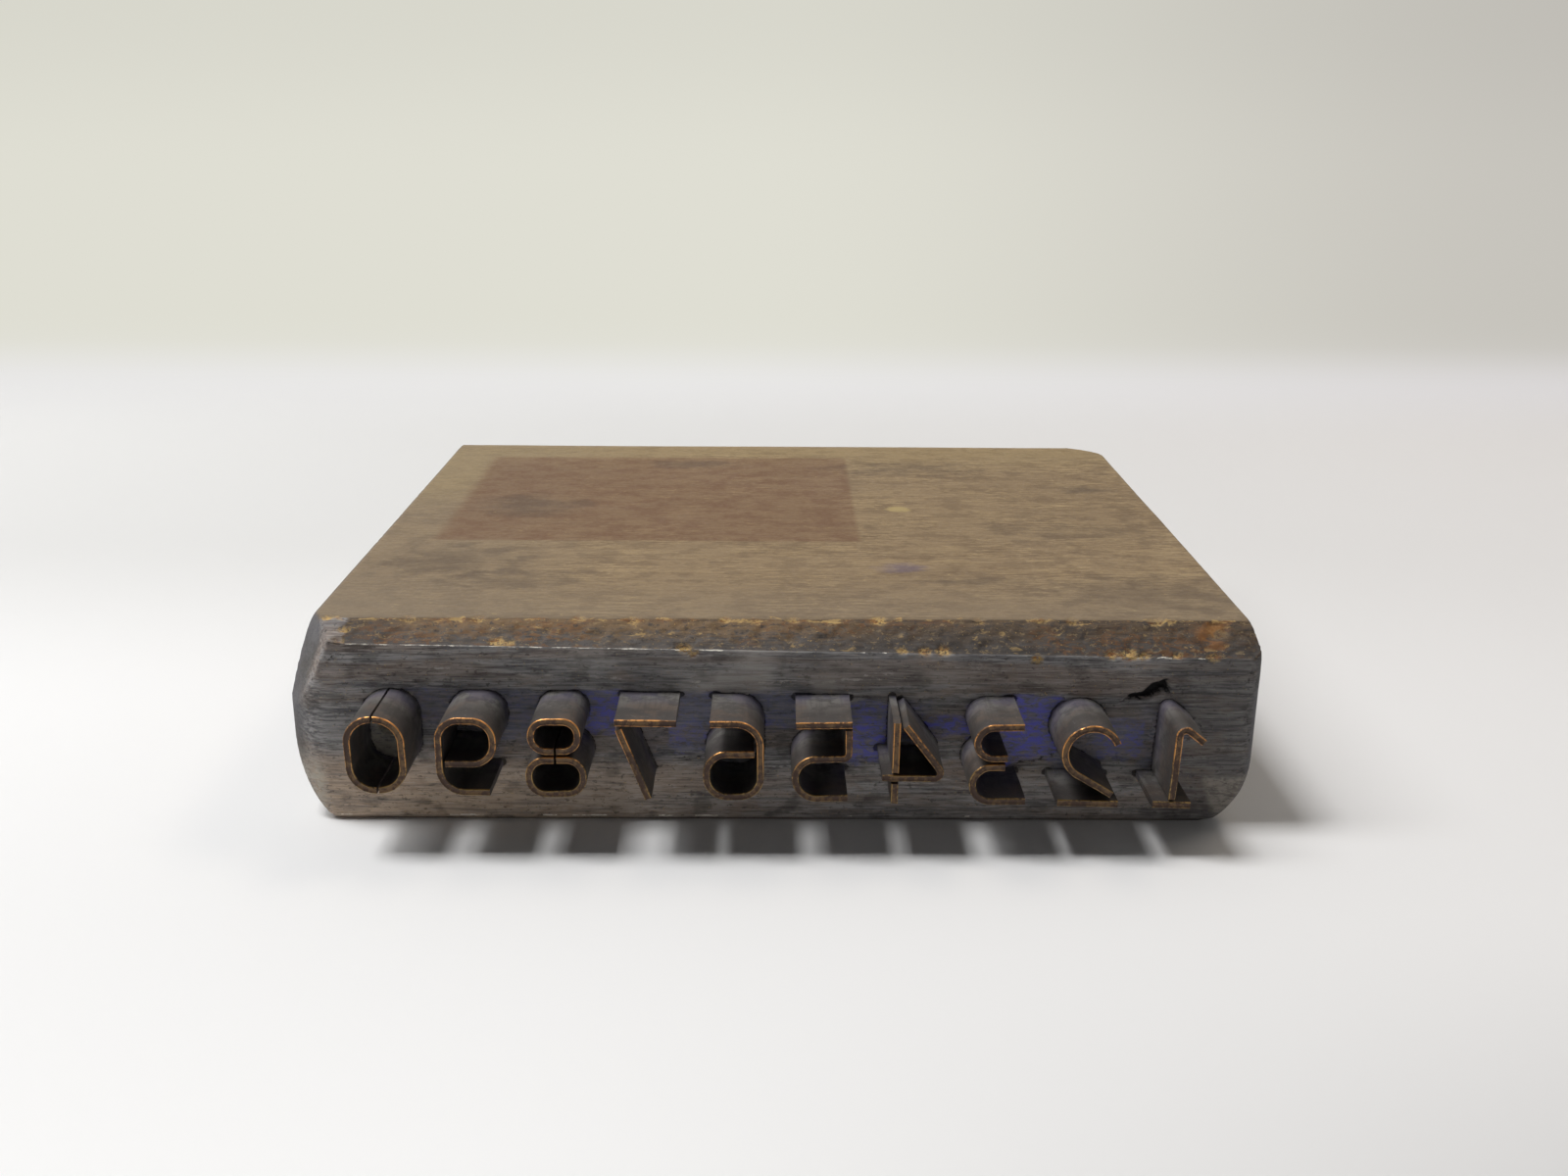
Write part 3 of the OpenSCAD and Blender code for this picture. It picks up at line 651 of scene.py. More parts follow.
def addNode(tree, kind, inputs=None, output=0, **settings):
    # Adds one node and gives one of its outputs, or the node itself where output is None.
    # An input takes another node's output, a number, a tuple or a hex colour.
    node = tree.nodes.new(kind)
    for key, value in settings.items():
        setattr(node, key, value)
    for key, value in (inputs or {}).items():
        if isinstance(value, bpy.types.NodeSocket):
            tree.links.new(value, node.inputs[key])
        else:
            isHex = isinstance(value, str) and value.startswith("#")
            node.inputs[key].default_value = linearColour(value) if isHex else value
    return node if output is None else node.outputs[output]


def gatherValues(tree, finish, markNames=()):
    # What a finish is mixed from: its colours and noises, the place on the object in mm, and the mesh's marks
    values = dict(finish["colours"])
    place = addNode(tree, "ShaderNodeTexCoord", output="Object")
    split = addNode(tree, "ShaderNodeSeparateXYZ", {0: place}, None)
    for axis, output in zip(("px", "py", "pz"), split.outputs):
        values[axis] = addNode(tree, "ShaderNodeMath", {0: output, 1: 1 / mm}, operation="MULTIPLY")
    for name, (sizes, detail, rough, warp, *shift) in finish.get("noises", {}).items():
        scale = tuple(1 / (size * mm) for size in sizes)
        moved = addNode(tree, "ShaderNodeMapping", {
            "Vector": place, "Scale": scale, "Location": shift or (0, 0, 0)})
        values[name] = addNode(tree, "ShaderNodeTexNoise", {
            "Vector": moved, "Scale": 1.0, "Detail": detail, "Roughness": rough, "Distortion": warp}, "Fac")
    for name in markNames:
        values[name] = addNode(
            tree, "ShaderNodeAttribute", None, "Fac", attribute_name=name, attribute_type="GEOMETRY")
    return values


def followSteps(tree, values, steps):
    # Each step names its result, what is done, and with what: a word is an earlier value or a colour.
    # "start" begins with a colour. "ease" goes smoothly from 0 to 1, or between two given shares, while a
    # value goes from one number to another, and "times" multiplies the result by such a share.
    # "coat" lays a colour over the result by such a share, and "over" by a share worked out before.
    # Any other word is an operation of the Math node.
    for name, action, *given in steps:
        given = [values[word] if isinstance(word, str) else word for word in given]
        paint = given.pop(0) if action in ("coat", "over") else None
        share = given[-1]
        if action in ("ease", "times", "coat"):
            eased = dict(enumerate(given))
            share = addNode(tree, "ShaderNodeMapRange", eased, interpolation_type="SMOOTHSTEP", clamp=True)
        if paint is not None:
            layers = {0: share, 6: values[name], 7: paint}
            values[name] = addNode(tree, "ShaderNodeMix", layers, 2, data_type="RGBA", clamp_factor=True)
        elif action == "times":
            values[name] = addNode(tree, "ShaderNodeMath", {0: values[name], 1: share}, operation="MULTIPLY")
        elif action in ("start", "ease"):
            values[name] = share
        else:
            values[name] = addNode(tree, "ShaderNodeMath", dict(enumerate(given)), operation=action)


# Old beech, planed and long handled: dull brown with grain along X, grey-black with ink and grease
# on the printing side, lighter where it is chipped or rubbed.
agedWood = {
    "colours": {
        "topBrown": "#887459", "topDark": "#675440", "topLight": "#a28c69", "topStain": "#574a3e",
        "topGrey": "#7c6f5e", "topPale": "#ab9768", "underLabel": "#6e503b", "smudge": "#5d5678",
        "frontGrey": "#979594", "frontDark": "#5e5d60", "frontLight": "#b9b2ab", "frontBrown": "#857264",
        "frontEnd": "#484542", "footBrown": "#baa590", "chamferTop": "#776045", "chamferLow": "#56514e",
        "chamferDark": "#383432", "chipPale": "#c0a065", "chipOrange": "#85582f", "wornPaleAndHighlight": "#f2ecdf",
        "inkBlue": "#7373d6", "inkDull": "#7c7e98", "rubGreyAndPaintedLight": "#b0a99d", "endBrown": "#75675a",
        "endDark": "#4a3d31", "crackAndShadeBlack": "#0c0a0b",
    },
    # size of their features in mm along X, Y and Z, detail, roughness, warp, and a shift where there is one
    "noises": {
        "fibre": ((7, 0.55, 0.36), 5, 0.62, 0.3), "hair": ((2.4, 0.26, 0.19), 3, 0.6, 0),
        "broadGrain": ((42, 4.5, 3.0), 3, 0.55, 0.5), "blotch": ((17, 13, 9), 4, 0.6, 0),
        "growth": ((60, 24, 1.3), 3, 0.55, 0.4), "cloud": ((5.5, 3.6, 3.0), 5, 0.62, 0),
        "speck": ((0.9, 0.7, 0.55), 3, 0.65, 0), "fleck": ((0.40, 0.36, 0.34), 2, 0.7, 0),
        "tear": ((1.5, 0.8, 0.6), 4, 0.7, 0.8), "shred": ((2.6, 1.5, 1.3), 4, 0.65, 0.6, 2.3, 0.7, 0.1),
    },
    # spots on the top: colour, middle and reach along X and Y in mm, and strength
    "spots": [
        ("topStain", -40, 7.7, 8, 6, 0.6), ("topStain", -47, -22, 10, 7, 0.5),
        ("topStain", -14.3, 36, 7, 3, 0.5), ("topStain", -36, -31, 10, 4, 0.4),
        ("topStain", 24, 33, 14, 5, 0.35), ("topStain", 53.5, 19, 4, 2.5, 0.5),
        ("topStain", 29, -31, 7, 1.6, 0.5), ("topStain", 46, -6, 12, 6, 0.25),
        ("topStain", 52, -36, 13, 8, 0.4), ("topPale", 20.8, 6.4, 1.6, 1.6, 0.8),
        ("smudge", 18.4, -24.5, 4.0, 2.2, 0.35),
    ],
    # a bare patch on the chamfer, in the same numbers
    "bareCorner": (57.2, -47.6, 2.0, 1.7, 0.9),
}


def spotSteps(midX, midY, reachX, reachY, strength):  # a soft spot with a cloudy edge
    return [
        ("away", "MULTIPLY_ADD", "px", 1 / reachX, -midX / reachX), ("away", "MULTIPLY", "away", "away"),
        ("alongY", "MULTIPLY_ADD", "py", 1 / reachY, -midY / reachY),
        ("away", "MULTIPLY_ADD", "alongY", "alongY", "away"), ("away", "MULTIPLY_ADD", "cloud", 6.0, "away"),
        ("spot", "ease", "away", 2.7, 4.9, strength, 0)]


topSteps = [
    ("topGrain", "MULTIPLY", "fibre", 0.35), ("topGrain", "MULTIPLY_ADD", "broadGrain", 0.15, "topGrain"),
    ("topGrain", "MULTIPLY_ADD", "hair", 0.25, "topGrain"),
    ("topGrain", "MULTIPLY_ADD", "tear", 0.25, "topGrain"),
    ("top", "start", "topDark"),
    ("top", "coat", "topLight", "topGrain", 0.41, 0.59),
    ("top", "coat", "topBrown", "blotch", 0.38, 0.62, 0.75, 0.25),
    ("top", "coat", "topDark", "cloud", 0.52, 0.40, 0, 0.45),
    ("top", "coat", "topGrey", "py", -24, -46, 0, 0.45),
    ("top", "coat", "topGrey", "px", -15, -58, 0, 0.5),
    ("border", "ease", "px", -47, -54), ("border", "times", "py", 0, 24),
    ("backBorder", "ease", "py", 30, 46), ("border", "MAXIMUM", "border", "backBorder"),
    ("border", "MULTIPLY", "border", 0.22),
    ("top", "over", "topPale", "border"),
    ("label", "ease", "px", -52.2, -50.0), ("label", "times", "px", 13.8, 12.8),
    ("label", "times", "py", -12.6, -11.6), ("label", "times", "py", 42.0, 39.8),
    ("label", "times", "cloud", 0.36, 0.6, 0.75, 0.5),
    ("top", "over", "underLabel", "label"),
]
for colour, *spot in agedWood["spots"]:
    topSteps += spotSteps(*spot) + [("top", "over", colour, "spot")]
topSteps += [
    ("top", "coat", "topDark", "hair", 0.60, 0.70, 0, 0.5),
    ("top", "coat", "topPale", "tear", 0.62, 0.72, 0, 0.35),
]

# Printing side: grey fibres over a darker ground, browner towards the foot and the left, ink in its hollows
frontSteps = [
    ("front", "start", "frontDark"),
    ("front", "coat", "frontGrey", "fibre", 0.36, 0.62),
    ("front", "coat", "frontBrown", "broadGrain", 0.46, 0.62, 0, 0.45),
    ("front", "coat", "frontDark", "blotch", 0.50, 0.38, 0, 0.25),
    ("brown", "ease", "pz", 11.5, 5.0), ("brown", "times", "px", 6, -42, 0.05, 1),
    ("brown", "times", "fibre", 0.36, 0.56, 0.45, 1),
    ("front", "over", "footBrown", "brown"),
    ("front", "coat", "chamferDark", "cloud", 0.47, 0.36, 0, 0.45),
    ("front", "coat", "frontBrown", "cloud", 0.54, 0.66, 0, 0.4),
    ("front", "coat", "frontLight", "hair", 0.54, 0.68, 0, 0.35),
    ("front", "coat", "chamferDark", "hair", 0.44, 0.34, 0, 0.5),
    ("front", "coat", "chamferDark", "speck", 0.42, 0.32, 0, 0.6),
    ("front", "coat", "chipPale", "fleck", 0.66, 0.73, 0, 0.5),
    ("front", "coat", "chamferDark", "px", 44, 60, 0, 0.5),
    ("fromMiddle", "ABSOLUTE", "px"),
    ("paleBand", "ease", "fromMiddle", 34, 14), ("paleBand", "times", "pz", 17.0, 19.5),
    ("paleBand", "times", "blotch", 0.40, 0.56, 0.05, 0.45),
    ("front", "over", "frontLight", "paleBand"),
    ("smoothEnd", "start", "frontDark"), ("smoothEnd", "coat", "frontEnd", "blotch", 0.40, 0.60),
    ("endShare", "MULTIPLY", "endGrain", 0.85),
    ("front", "over", "smoothEnd", "endShare"),
    ("inkEdge", "ADD", "inkDepth", "ragged"),
    ("inkShare", "ease", "inkEdge", -0.5, 0.8), ("inkShare", "times", "tear", 0.38, 0.56, 0.35, 1),
    ("inkShare", "MULTIPLY", "inkShare", "inkBlueness"),
    ("strong", "MULTIPLY", "tear", 0.6), ("strong", "MULTIPLY_ADD", "blotch", 0.4, "strong"),
    ("strong", "MULTIPLY_ADD", "inkBlueness", 0.16, "strong"),
    ("ink", "start", "inkDull"), ("ink", "coat", "inkBlue", "strong", 0.59, 0.76),
    ("front", "over", "ink", "inkShare"),
]

# Chamfer: brown torn fibres at its upper edge, dark grey-brown below, nearly black on the right
chamferSteps = [
    ("slope", "MULTIPLY_ADD", "tear", 9.0, "py"),
    ("chamfer", "start", "chamferLow"),
    ("chamfer", "coat", "chamferTop", "slope", -46.1, -42.9),
    ("rightDark", "ease", "px", -6, 18, 0.10, 0.62), ("leftDark", "ease", "px", -45, -50, 0, 0.6),
    ("dark", "MAXIMUM", "rightDark", "leftDark"), ("dark", "SUBTRACT", "dark", 1),
    ("dark", "MULTIPLY_ADD", "tear", 2.0, "dark"),
    ("chamfer", "over", "chamferDark", "dark"),
    ("chamfer", "coat", "chamferDark", "fibre", 0.50, 0.38, 0, 0.5),
    ("orange", "ease", "blotch", 0.48, 0.60, 0, 0.4), ("orange", "times", "tear", 0.46, 0.58),
    ("chamfer", "over", "chipOrange", "orange"),
    ("chamfer", "coat", "chipPale", "shred", 0.59, 0.70, 0, 0.5),
    ("chamfer", "coat", "chamferDark", "speck", 0.44, 0.34, 0, 0.75),
    ("chamfer", "coat", "topLight", "speck", 0.58, 0.68, 0, 0.35),
    ("chamfer", "coat", "chipPale", "fleck", 0.66, 0.74, 0, 0.6),
    *spotSteps(*agedWood["bareCorner"]),
    ("spot", "times", "shred", 0.42, 0.56, 0.1, 1),
    ("chamfer", "over", "chipOrange", "spot"),
]

# The ends, the back and the underside, then every face in its place, then wear and cracks over them all,
# with painted light among them: a pale patch inside the first figure, a painted highlight along the
# chamfer's foot and painted shade where the strips enter the wood
bodySteps = [
    ("body", "start", "endDark"),
    ("body", "coat", "endBrown", "topGrain", 0.38, 0.62),
    ("rings", "ease", "growth", 0.50, 0.62, 0, 0.6), ("rings", "MULTIPLY", "rings", "endGrain"),
    ("body", "over", "endDark", "rings"),
    ("body", "coat", "endDark", "cloud", 0.52, 0.36, 0, 0.35),
    ("body", "coat", "topLight", "blotch", 0.50, 0.68, 0, 0.22),
    ("body", "coat", "endDark", "pz", 7, 0, 0, 0.45),
    ("body", "coat", "chipPale", "fleck", 0.64, 0.72, 0, 0.5),
    ("body", "over", "front", "frontFace"),
    ("body", "over", "top", "topFace"),
    ("body", "over", "chamfer", "chamferFace"),
    # Real rubbing greys the foot; the same mark paints the inside of the first figure pale as painted light
    ("rubAndPaintedLightShare", "ease", "tear", 0.38, 0.56, 0.2, 0.85), ("rubAndPaintedLightShare", "MULTIPLY", "rubAndPaintedLightShare", "rub"),
    ("body", "over", "rubGreyAndPaintedLight", "rubAndPaintedLightShare"),
    ("chipShare", "ease", "fleck", 0.38, 0.54, 0.1, 1), ("chipShare", "MULTIPLY", "chipShare", "chip"),
    ("bare", "start", "chipPale"), ("bare", "coat", "chipOrange", "tear", 0.48, 0.60),
    ("body", "over", "bare", "chipShare"),
    ("worn", "MULTIPLY_ADD", "ragged", 0.6, "wornAway"),
    # Wear and painted highlight: pale broken lines along the chamfer's foot and the block's foot, painted
    # bright as if lit from above
    ("body", "coat", "wornPaleAndHighlight", "worn", 0.04, 0.16, 0.95, 0),
    ("arris", "MULTIPLY_ADD", "shred", -5.0, "arrisAway"), ("arris", "ADD", "arris", "ragged"),
    ("body", "coat", "bare", "arris", -2.75, -2.25, 0.6, 0),
    ("scratch", "ADD", "paleAway", "ragged"),
    ("body", "coat", "frontLight", "scratch", 0.02, 0.2, 0.7, 0),
    # Painted shade: a dark line painted along each strip where it enters the wood, laid on together with the
    # cracks
    ("paintedRootShade", "MULTIPLY_ADD", "ragged", 0.8, "rootAway"), ("paintedRootShade", "ease", "paintedRootShade", 0, 0.16, 0.75, 0),
    ("crackAndRootShade", "ADD", "crackAway", "ragged"), ("crackAndRootShade", "ease", "crackAndRootShade", -0.1, 0.2, 1, 0),
    ("crackAndRootShade", "MAXIMUM", "crackAndRootShade", "paintedRootShade"),
    ("body", "over", "crackAndShadeBlack", "crackAndRootShade"),
    ("height", "MULTIPLY", "fibre", 0.3), ("height", "MULTIPLY_ADD", "tear", 0.7, "height"),
    ("height", "MULTIPLY_ADD", "crackAndRootShade", -0.6, "height"),
    ("roughness", "ease", "speck", 0.3, 0.7, 0.62, 0.82),
]


def agedWoodMaterial():
    material, tree = newMaterial("oldBeechInkedAndHandled")
    values = gatherValues(tree, agedWood, marks | fields)
    raggedness = [("ragged", "MULTIPLY_ADD", "speck", 0.9, -0.45)]
    followSteps(tree, values, raggedness + topSteps + frontSteps + chamferSteps + bodySteps)
    bump = addNode(tree, "ShaderNodeBump", {"Height": values["height"], "Strength": 0.7, "Distance": 0.00022})
    shader = addNode(tree, "ShaderNodeBsdfPrincipled", {
        "Base Color": values["body"], "Roughness": values["roughness"], "Normal": bump, "IOR": 1.5,
        "Specular IOR Level": 0.3})
    addNode(tree, "ShaderNodeOutputMaterial", {"Surface": shader}, None)
    return material


blockMesh.materials.append(agedWoodMaterial())

# Rolled brass strip, sheared, bent and long inked: dull brown on its sides,
# worn through to bright metal along the two rims of its printing edge. The rims are painted brighter
# and more orange the higher they stand, a painted highlight on the upper bars.
tarnishedBrass = {
    "colours": {
        "sideGrey": "#7c7975", "sideNearEdge": "#4a4542", "sideDark": "#423e3c", "sideBrown": "#67574b",
        "inkFilm": "#5d5f83", "edgeBrown": "#44342c", "edgeBrass": "#67513a", "rimPaintedHighlight": "#e8a560",
        "rimLow": "#a98c5b",
    },
    "noises": {
        "mottle": ((0.55, 0.55, 0.55), 3, 0.65, 0), "patch": ((4.5, 4.5, 4.5), 3, 0.6, 0),
        "streak": ((0.5, 7, 0.5), 3, 0.6, 0), "smear": ((2.0, 1.6, 1.6), 4, 0.65, 0),
    },
}
brassSteps = [
    ("across", "ABSOLUTE", "across"), ("outward", "MULTIPLY", "inward", -1),
    ("side", "start", "sideGrey"),
    ("side", "coat", "sideNearEdge", "outward", 0.6, 7.0),
    ("side", "coat", "sideBrown", "patch", 0.46, 0.60, 0, 0.5),
    ("side", "coat", "sideDark", "smear", 0.46, 0.60, 0, 0.6),
    ("side", "coat", "sideDark", "streak", 0.48, 0.66, 0, 0.35),
    ("side", "coat", "sideGrey", "mottle", 0.60, 0.72, 0, 0.4),
    ("film", "ease", "outward", 4.5, 0.5, 0, 0.35), ("film", "times", "patch", 0.42, 0.58),
    ("side", "over", "inkFilm", "film"),
    ("worn", "MULTIPLY", "mottle", 0.55), ("worn", "MULTIPLY_ADD", "patch", 0.45, "worn"),
    ("edge", "start", "edgeBrown"), ("edge", "coat", "edgeBrass", "worn", 0.46, 0.58),
    ("onEdge", "ease", "outward", 8.62, 8.74),
    ("side", "over", "edge", "onEdge"),
    ("height", "MULTIPLY_ADD", "patch", 6.0, "pz"),
    # Painted highlight: the rims turn brighter and more orange from 12.5 to 19.5 mm up, as the upper bars
    # would catch the light from above
    ("rim", "start", "rimLow"), ("rim", "coat", "rimPaintedHighlight", "height", 12.5, 19.5),
    ("shine", "ease", "across", 0.29, 0.37), ("shine", "times", "outward", 8.58, 8.72),
    ("shine", "times", "worn", 0.42, 0.54, 0.12, 1),
    ("side", "over", "rim", "shine"),
    ("metallic", "MULTIPLY", "onEdge", 0.6), ("metallic", "MAXIMUM", "metallic", "shine"),
    ("metallic", "MAXIMUM", "metallic", 0.25),
    ("roughness", "ease", "shine", 0.2, 0.9, 0.55, 0.3),
]


def tarnishedBrassMaterial():
    material, tree = newMaterial("rolledBrassStripTarnished")
    values = gatherValues(tree, tarnishedBrass)
    section = addNode(
        tree, "ShaderNodeAttribute", None, "Vector", attribute_name="section", attribute_type="GEOMETRY")
    split = addNode(tree, "ShaderNodeSeparateXYZ", {0: section}, None)
    values |= {"across": split.outputs[0], "inward": split.outputs[1]}
    followSteps(tree, values, brassSteps)
    bump = addNode(tree, "ShaderNodeBump", {"Height": values["mottle"], "Strength": 0.4, "Distance": 0.00006})
    shader = addNode(tree, "ShaderNodeBsdfPrincipled", {
        "Base Color": values["side"], "Roughness": values["roughness"], "Metallic": values["metallic"],
        "Normal": bump})
    addNode(tree, "ShaderNodeOutputMaterial", {"Surface": shader}, None)
    return material


brassFinish = tarnishedBrassMaterial()
print("materials mixed")


# Brass strips: one tree sweeps the strip's section along each path, then dents it a little
def stripSection():
    # From the tip round the printing edge and back: across, and inward from the wood's face, in mm
    out, seat = figureRow["standsOut"] - 0.06, figureRow["seat"]
    half = [(figureRow["tipThickness"] / 2, -seat), (halfT, figureRow["taperLength"] - seat)]
    heights = (-3.0, -1.0, 0.0, 0.8, 1.6, 2.4, 3.2, 4.0, 4.8, 5.6, 6.4, 7.2, 7.8, 8.3, 8.55)
    half += [(halfT, h) for h in heights]
    rounding = ((0.01, 0.14), (0.05, 0.04), (0.11, 0), (0.19, 0.02), (0.28, 0.06), (0.37, 0.08))
    half += [(halfT - inwards, out - lower) for inwards, lower in rounding]
    return [(a, -h) for a, h in half] + [(-a, -h) for a, h in reversed(half)]


def lineObject(name, points, closed):
    curve = bpy.data.curves.new(name, "CURVE")
    curve.dimensions = "3D"
    curve.twist_mode = "Z_UP"
    line = curve.splines.new("POLY")
    line.points.add(len(points) - 1)
    for target, (px, py) in zip(line.points, points):
        target.co = (px, py, 0, 1)
    line.use_cyclic_u = closed
    holder = bpy.data.objects.new(name, curve)
    bpy.context.scene.collection.objects.link(holder)
    return holder


# Bends and dents from use: their size in mm, the scale and the share of the slow and of the short ones,
# their share towards the wood, and the step from one strip's seed to the next
stripWear = {"dent": 0.16, "noises": ((0.16, 1.0), (1.1, 0.35)), "depthShare": 0.15, "seedStep": 3.7}


def stripTree():
    tree = bpy.data.node_groups.new("bentStrip", "GeometryNodeTree")
    sockets = {}
    for name, kind in (("Path", "Geometry"), ("Section", "Object"), ("Dent", "Float"), ("Seed", "Float"),
                       ("Finish", "Material")):
        socket = tree.interface.new_socket(name, in_out="INPUT", socket_type="NodeSocket" + kind)
        sockets[name] = socket.identifier
    tree.interface.new_socket("Strip", in_out="OUTPUT", socket_type="NodeSocketGeometry")
    given = addNode(tree, "NodeGroupInput", None, None).outputs
    section = addNode(tree, "GeometryNodeObjectInfo", {"Object": given["Section"]}, "Geometry",
                      transform_space="ORIGINAL")
    place = addNode(tree, "GeometryNodeInputPosition")
    kept = addNode(tree, "GeometryNodeCaptureAttribute", {"Geometry": section}, None, domain="POINT")
    kept.capture_items.new("VECTOR", "section")
    tree.links.new(place, kept.inputs[1])
    swept = addNode(tree, "GeometryNodeCurveToMesh", {
        "Curve": given["Path"], "Profile Curve": kept.outputs["Geometry"], "Fill Caps": True})
    moved = addNode(tree, "GeometryNodeStoreNamedAttribute", {
        "Geometry": swept, "Name": "section", "Value": kept.outputs[1]},
        data_type="FLOAT_VECTOR", domain="POINT")
    for scale, share in stripWear["noises"]:  # slow bends, then small dents
        noise = addNode(tree, "ShaderNodeTexNoise", {
            "Vector": place, "W": given["Seed"], "Scale": scale, "Detail": 1.0}, "Color",
            noise_dimensions="4D")
        centred = addNode(tree, "ShaderNodeVectorMath", {0: noise, 1: (0.5, 0.5, 0.5)}, operation="SUBTRACT")
        size = addNode(tree, "ShaderNodeMath", {0: given["Dent"], 1: share}, operation="MULTIPLY")
        offset = addNode(tree, "ShaderNodeVectorMath", {0: centred, "Scale": size}, operation="SCALE")
        offset = addNode(tree, "ShaderNodeVectorMath", {
            0: offset, 1: (1, 1, stripWear["depthShare"])}, operation="MULTIPLY")
        moved = addNode(tree, "GeometryNodeSetPosition", {"Geometry": moved, "Offset": offset})
    moved = addNode(tree, "GeometryNodeSetShadeSmooth", {"Geometry": moved})
    whole = addNode(tree, "GeometryNodeRealizeInstances", {"Geometry": moved})
    dressed = addNode(tree, "GeometryNodeSetMaterial", {"Geometry": whole, "Material": given["Finish"]})
    addNode(tree, "NodeGroupOutput", {0: dressed}, None)
    return tree, sockets


bentStrip, stripInputs = stripTree()
sectionLine = lineObject("stripSection", stripSection(), True)
for number, (name, (place, start, heading, steps)) in enumerate(strips.items()):
    path = lineObject(name + "_path", walkPath(start, heading, steps), False)
    sweep = path.modifiers.new("sweep", "NODES")
    sweep.node_group = bentStrip
    settings = {"Section": sectionLine, "Dent": stripWear["dent"], "Seed": stripWear["seedStep"] * number,
                "Finish": brassFinish}
    for key, value in settings.items():
        sweep[stripInputs[key]] = value
    bpy.context.view_layer.update()
    mesh = bpy.data.meshes.new_from_object(path.evaluated_get(bpy.context.evaluated_depsgraph_get()))
    mesh.transform(placeInRow(place))
    shell = bmesh.new()
    shell.from_mesh(mesh)
    bmesh.ops.remove_doubles(shell, verts=shell.verts, dist=1e-7)
    bmesh.ops.recalc_face_normals(shell, faces=shell.faces)
    shell.to_mesh(mesh)
    shell.free()
    mesh.set_sharp_from_angle(angle=math.radians(50))
    piece = bpy.data.objects.new(name + "_bent", mesh)
    bpy.context.scene.collection.objects.link(piece)
    bpy.data.objects.remove(path)
    low, high = (np.array(corner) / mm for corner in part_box(name))
    made = np.array([v.co for v in mesh.vertices]) / mm
    print("  ", name, len(mesh.polygons), "faces, box off by",
          np.round(np.maximum(np.abs(made.min(0) - low), np.abs(made.max(0) - high)), 2))
    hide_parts(name)
    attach(piece, "root")
bpy.data.objects.remove(sectionLine)
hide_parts("wood_block")
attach(agedBlock, "root")
print("strips bent and set")


# Floor and backdrop: one pale sheet that turns up behind the block. The floor is matt and takes the shadows,
# and its colour is painted darker towards the right and the far side, a painted fall-off of light; the wall
# is far behind them, so the camera sees it glowing, in colours painted darker to the right and near its top.
stageSheet = {
    "wide": 8.0, "front": -8.0, "wallY": 0.355, "turn": 0.02, "tall": 0.3,  # in metres
    "colours": {
        "floorLeft": "#f4f4f4", "floorRightPaintedShade": "#989695", "floorMiddle": "#eaeaea",
        "floorMiddleRight": "#e4e2e1", "floorFar": "#d6d6d5", "floorFarRight": "#e4e2e1",
        "hazeLeft": "#e9e8e7", "hazeRight": "#dad7d7", "wallLeft": "#dfded3", "wallRight": "#c6c3bc",
        "black": "#000000",
    },
    "wallTopShade": 0.07,
}
# The matt floor, the colour the camera sees beyond it, and the share in which that is seen
sheetSteps = [
    # Painted shade: the floor's colour falls off to the right and towards the back, as the light would
    ("floor", "start", "floorLeft"), ("floor", "coat", "floorRightPaintedShade", "px", -40, 160),
    ("floor", "coat", "floorLeft", "py", -140, -240),
    ("floor", "coat", "floorLeft", "px", 100, 200),
    ("middle", "start", "floorMiddle"), ("middle", "coat", "floorMiddleRight", "px", -50, 250),
    ("floor", "coat", "middle", "py", -170, -70),
    ("far", "start", "floorFar"), ("far", "coat", "floorFarRight", "px", -100, 300),
    ("floor", "coat", "far", "py", -20, 80),
    ("wall", "start", "wallLeft"), ("wall", "coat", "wallRight", "px", -20, 320),
    ("wall", "coat", "black", "pz", 60, 125, 0, stageSheet["wallTopShade"]),
    ("back", "ADD", "py", "pz"),
    ("shown", "start", "hazeLeft"), ("shown", "coat", "hazeRight", "px", -50, 300),
    ("shown", "coat", "wall", "back", 240, 366),
    ("share", "ease", "back", 160, 270),
    ("before", "ease", "py", -220, -600), ("share", "MAXIMUM", "share", "before"),
    ("aside", "ABSOLUTE", "px"), ("aside", "ease", "aside", 320, 900), ("share", "MAXIMUM", "share", "aside"),
    ("seen", "MAXIMUM", "cameraRay", "glossyRay"), ("seen", "MAXIMUM", "seen", "throughRay"),
    ("share", "MULTIPLY", "share", "seen"),
]


def paleSheet():
    s = stageSheet
    turn = [(s["wallY"] - s["turn"] + s["turn"] * math.sin(a), s["turn"] - s["turn"] * math.cos(a))
            for a in np.linspace(0, math.pi / 2, 9)]
    line = [(s["front"], 0.0)] + turn + [(s["wallY"], s["tall"])]
    mesh = bpy.data.meshes.new("paleSheet")
    points = [(side * s["wide"], py, pz) for side in (-1, 1) for py, pz in line]
    count = len(line)
    mesh.from_pydata(points, [], [(k, count + k, count + k + 1, k + 1) for k in range(count - 1)])
    mesh.shade_smooth()
    material, tree = newMaterial("mattPaperSheet")
    values = gatherValues(tree, stageSheet)
    rays = addNode(tree, "ShaderNodeLightPath", None, None).outputs
    values |= {"cameraRay": rays["Is Camera Ray"], "glossyRay": rays["Is Glossy Ray"],
               "throughRay": rays["Is Transmission Ray"]}
    followSteps(tree, values, sheetSteps)
    matt = addNode(tree, "ShaderNodeBsdfDiffuse", {"Color": values["floor"]})
    shown = addNode(tree, "ShaderNodeEmission", {"Color": values["shown"], "Strength": 1.0})
    both = addNode(tree, "ShaderNodeMixShader", {0: values["share"], 1: matt, 2: shown})
    addNode(tree, "ShaderNodeOutputMaterial", {"Surface": both}, None)
    mesh.materials.append(material)
    sheet = bpy.data.objects.new("pale_sheet", mesh)
    bpy.context.scene.collection.objects.link(sheet)


paleSheet()


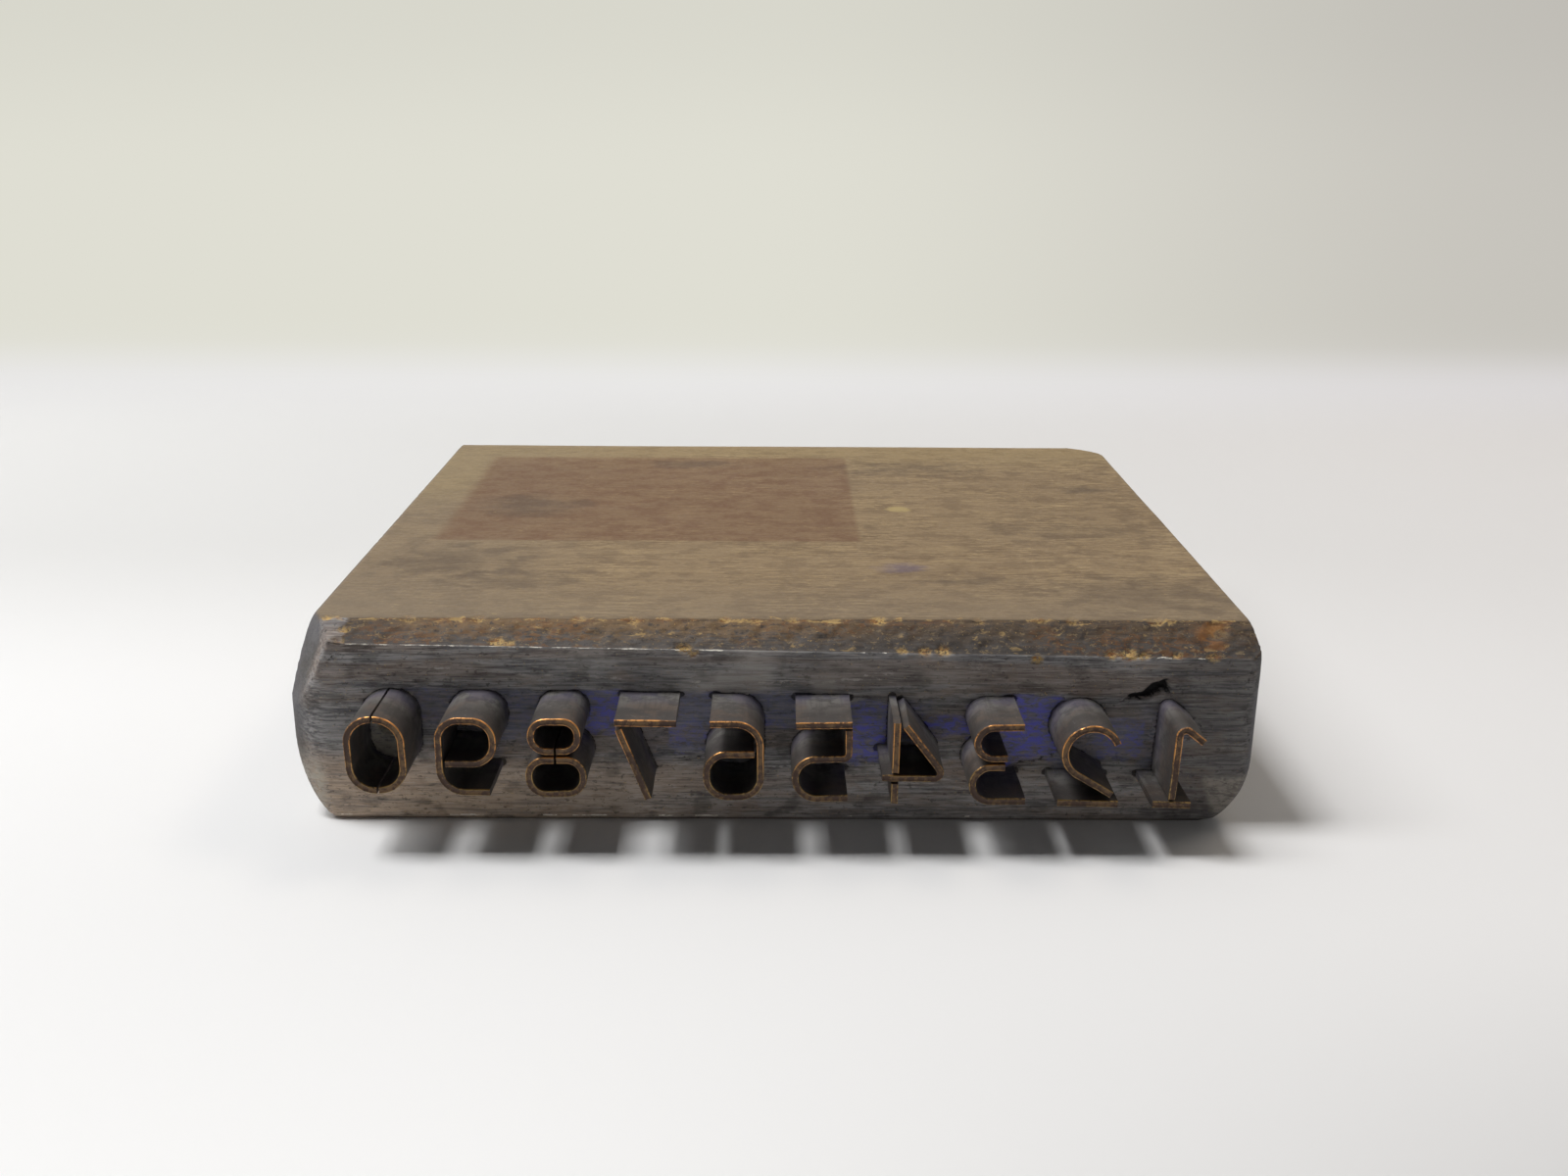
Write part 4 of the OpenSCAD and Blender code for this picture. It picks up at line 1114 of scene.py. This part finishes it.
# Lights: a broad soft one overhead, a little behind and to the left, and plain daylight all round
def areaLight(name, place, aim, size, power, colour):
    data = bpy.data.lights.new(name, "AREA")
    data.shape, data.size, data.size_y = "RECTANGLE", size[0], size[1]
    data.energy = power
    data.color = linearColour(colour)[:3]
    light = bpy.data.objects.new(name, data)
    light.location = place
    light.rotation_euler = (Vector(aim) - Vector(place)).to_track_quat("-Z", "Y").to_euler()
    bpy.context.scene.collection.objects.link(light)


# Place, the point it faces and size in metres, power in watts, and colour
lamps = {
    "ceilingPanel": ((-0.494, 0.045, 1.3), (-0.494, 0.045, 0.0), (0.37, 0.30), 12.2, "#ffffff"),
    "sideWindow": ((-0.798, 0.045, 0.95), (-0.798, 0.045, 0.0), (0.65, 0.26), 5.6, "#ffffff"),
    "rightLamp": ((0.45, 0.30, 0.80), (0, 0, 0), (0.3, 0.2), 1.1, "#fff0dc"),
}
for name, values in lamps.items():
    areaLight(name, *values)


roomSky = {"front": 0.04, "back": 0.48, "lowFront": 0.70, "colour": "#ffffff"}


def roomLight():  # daylight behind the block, and a little along the floor from the camera's side
    world = bpy.data.worlds.new("roomLight")
    world.use_nodes = True
    tree = world.node_tree
    tree.nodes.clear()
    way = addNode(tree, "ShaderNodeTexCoord", None, "Generated")
    split = addNode(tree, "ShaderNodeSeparateXYZ", {0: way}, None)
    values = {"forward": split.outputs[1], "upward": split.outputs[2]}
    followSteps(tree, values, [
        ("strength", "ease", "upward", 0.12, 0.22, roomSky["lowFront"], roomSky["front"]),
        ("behind", "ease", "forward", 0.02, 0.28), ("before", "SUBTRACT", 1.0, "behind"),
        ("strength", "MULTIPLY", "strength", "before"),
        ("strength", "MULTIPLY_ADD", "behind", roomSky["back"], "strength"),
    ])
    sky = addNode(tree, "ShaderNodeBackground", {"Color": roomSky["colour"], "Strength": values["strength"]})
    addNode(tree, "ShaderNodeOutputWorld", {"Surface": sky}, None)
    bpy.context.scene.world = world


roomLight()


# Camera, from a fit to the photograph's outline
viewpoint = {"place": (0.29, -225.64, 91.82), "pitch": 18.719, "yaw": -0.416, "roll": -0.387, "lens": 33.75}


def photoCamera():
    pitch, yaw, roll = (math.radians(viewpoint[key]) for key in ("pitch", "yaw", "roll"))
    across = Vector((math.cos(yaw), math.sin(yaw), 0))
    ahead = Vector((-math.sin(yaw), math.cos(yaw), 0))
    up = math.sin(pitch) * ahead + math.cos(pitch) * Vector((0, 0, 1))
    look = math.cos(pitch) * ahead - math.sin(pitch) * Vector((0, 0, 1))
    right = math.cos(roll) * across - math.sin(roll) * up
    up = math.sin(roll) * across + math.cos(roll) * up
    data = bpy.data.cameras.new("photoCamera")
    data.lens, data.sensor_width = viewpoint["lens"], 36
    data.clip_start, data.clip_end = 0.01, 10
    camera = bpy.data.objects.new("photoCamera", data)
    turn = Matrix((right, up, -look)).transposed().to_4x4()
    camera.matrix_world = Matrix.Translation(Vector(viewpoint["place"]) * mm) @ turn
    bpy.context.scene.collection.objects.link(camera)
    bpy.context.scene.camera = camera


photoCamera()
bpy.context.scene.view_settings.view_transform = "Standard"
print("stage, lights and camera set")
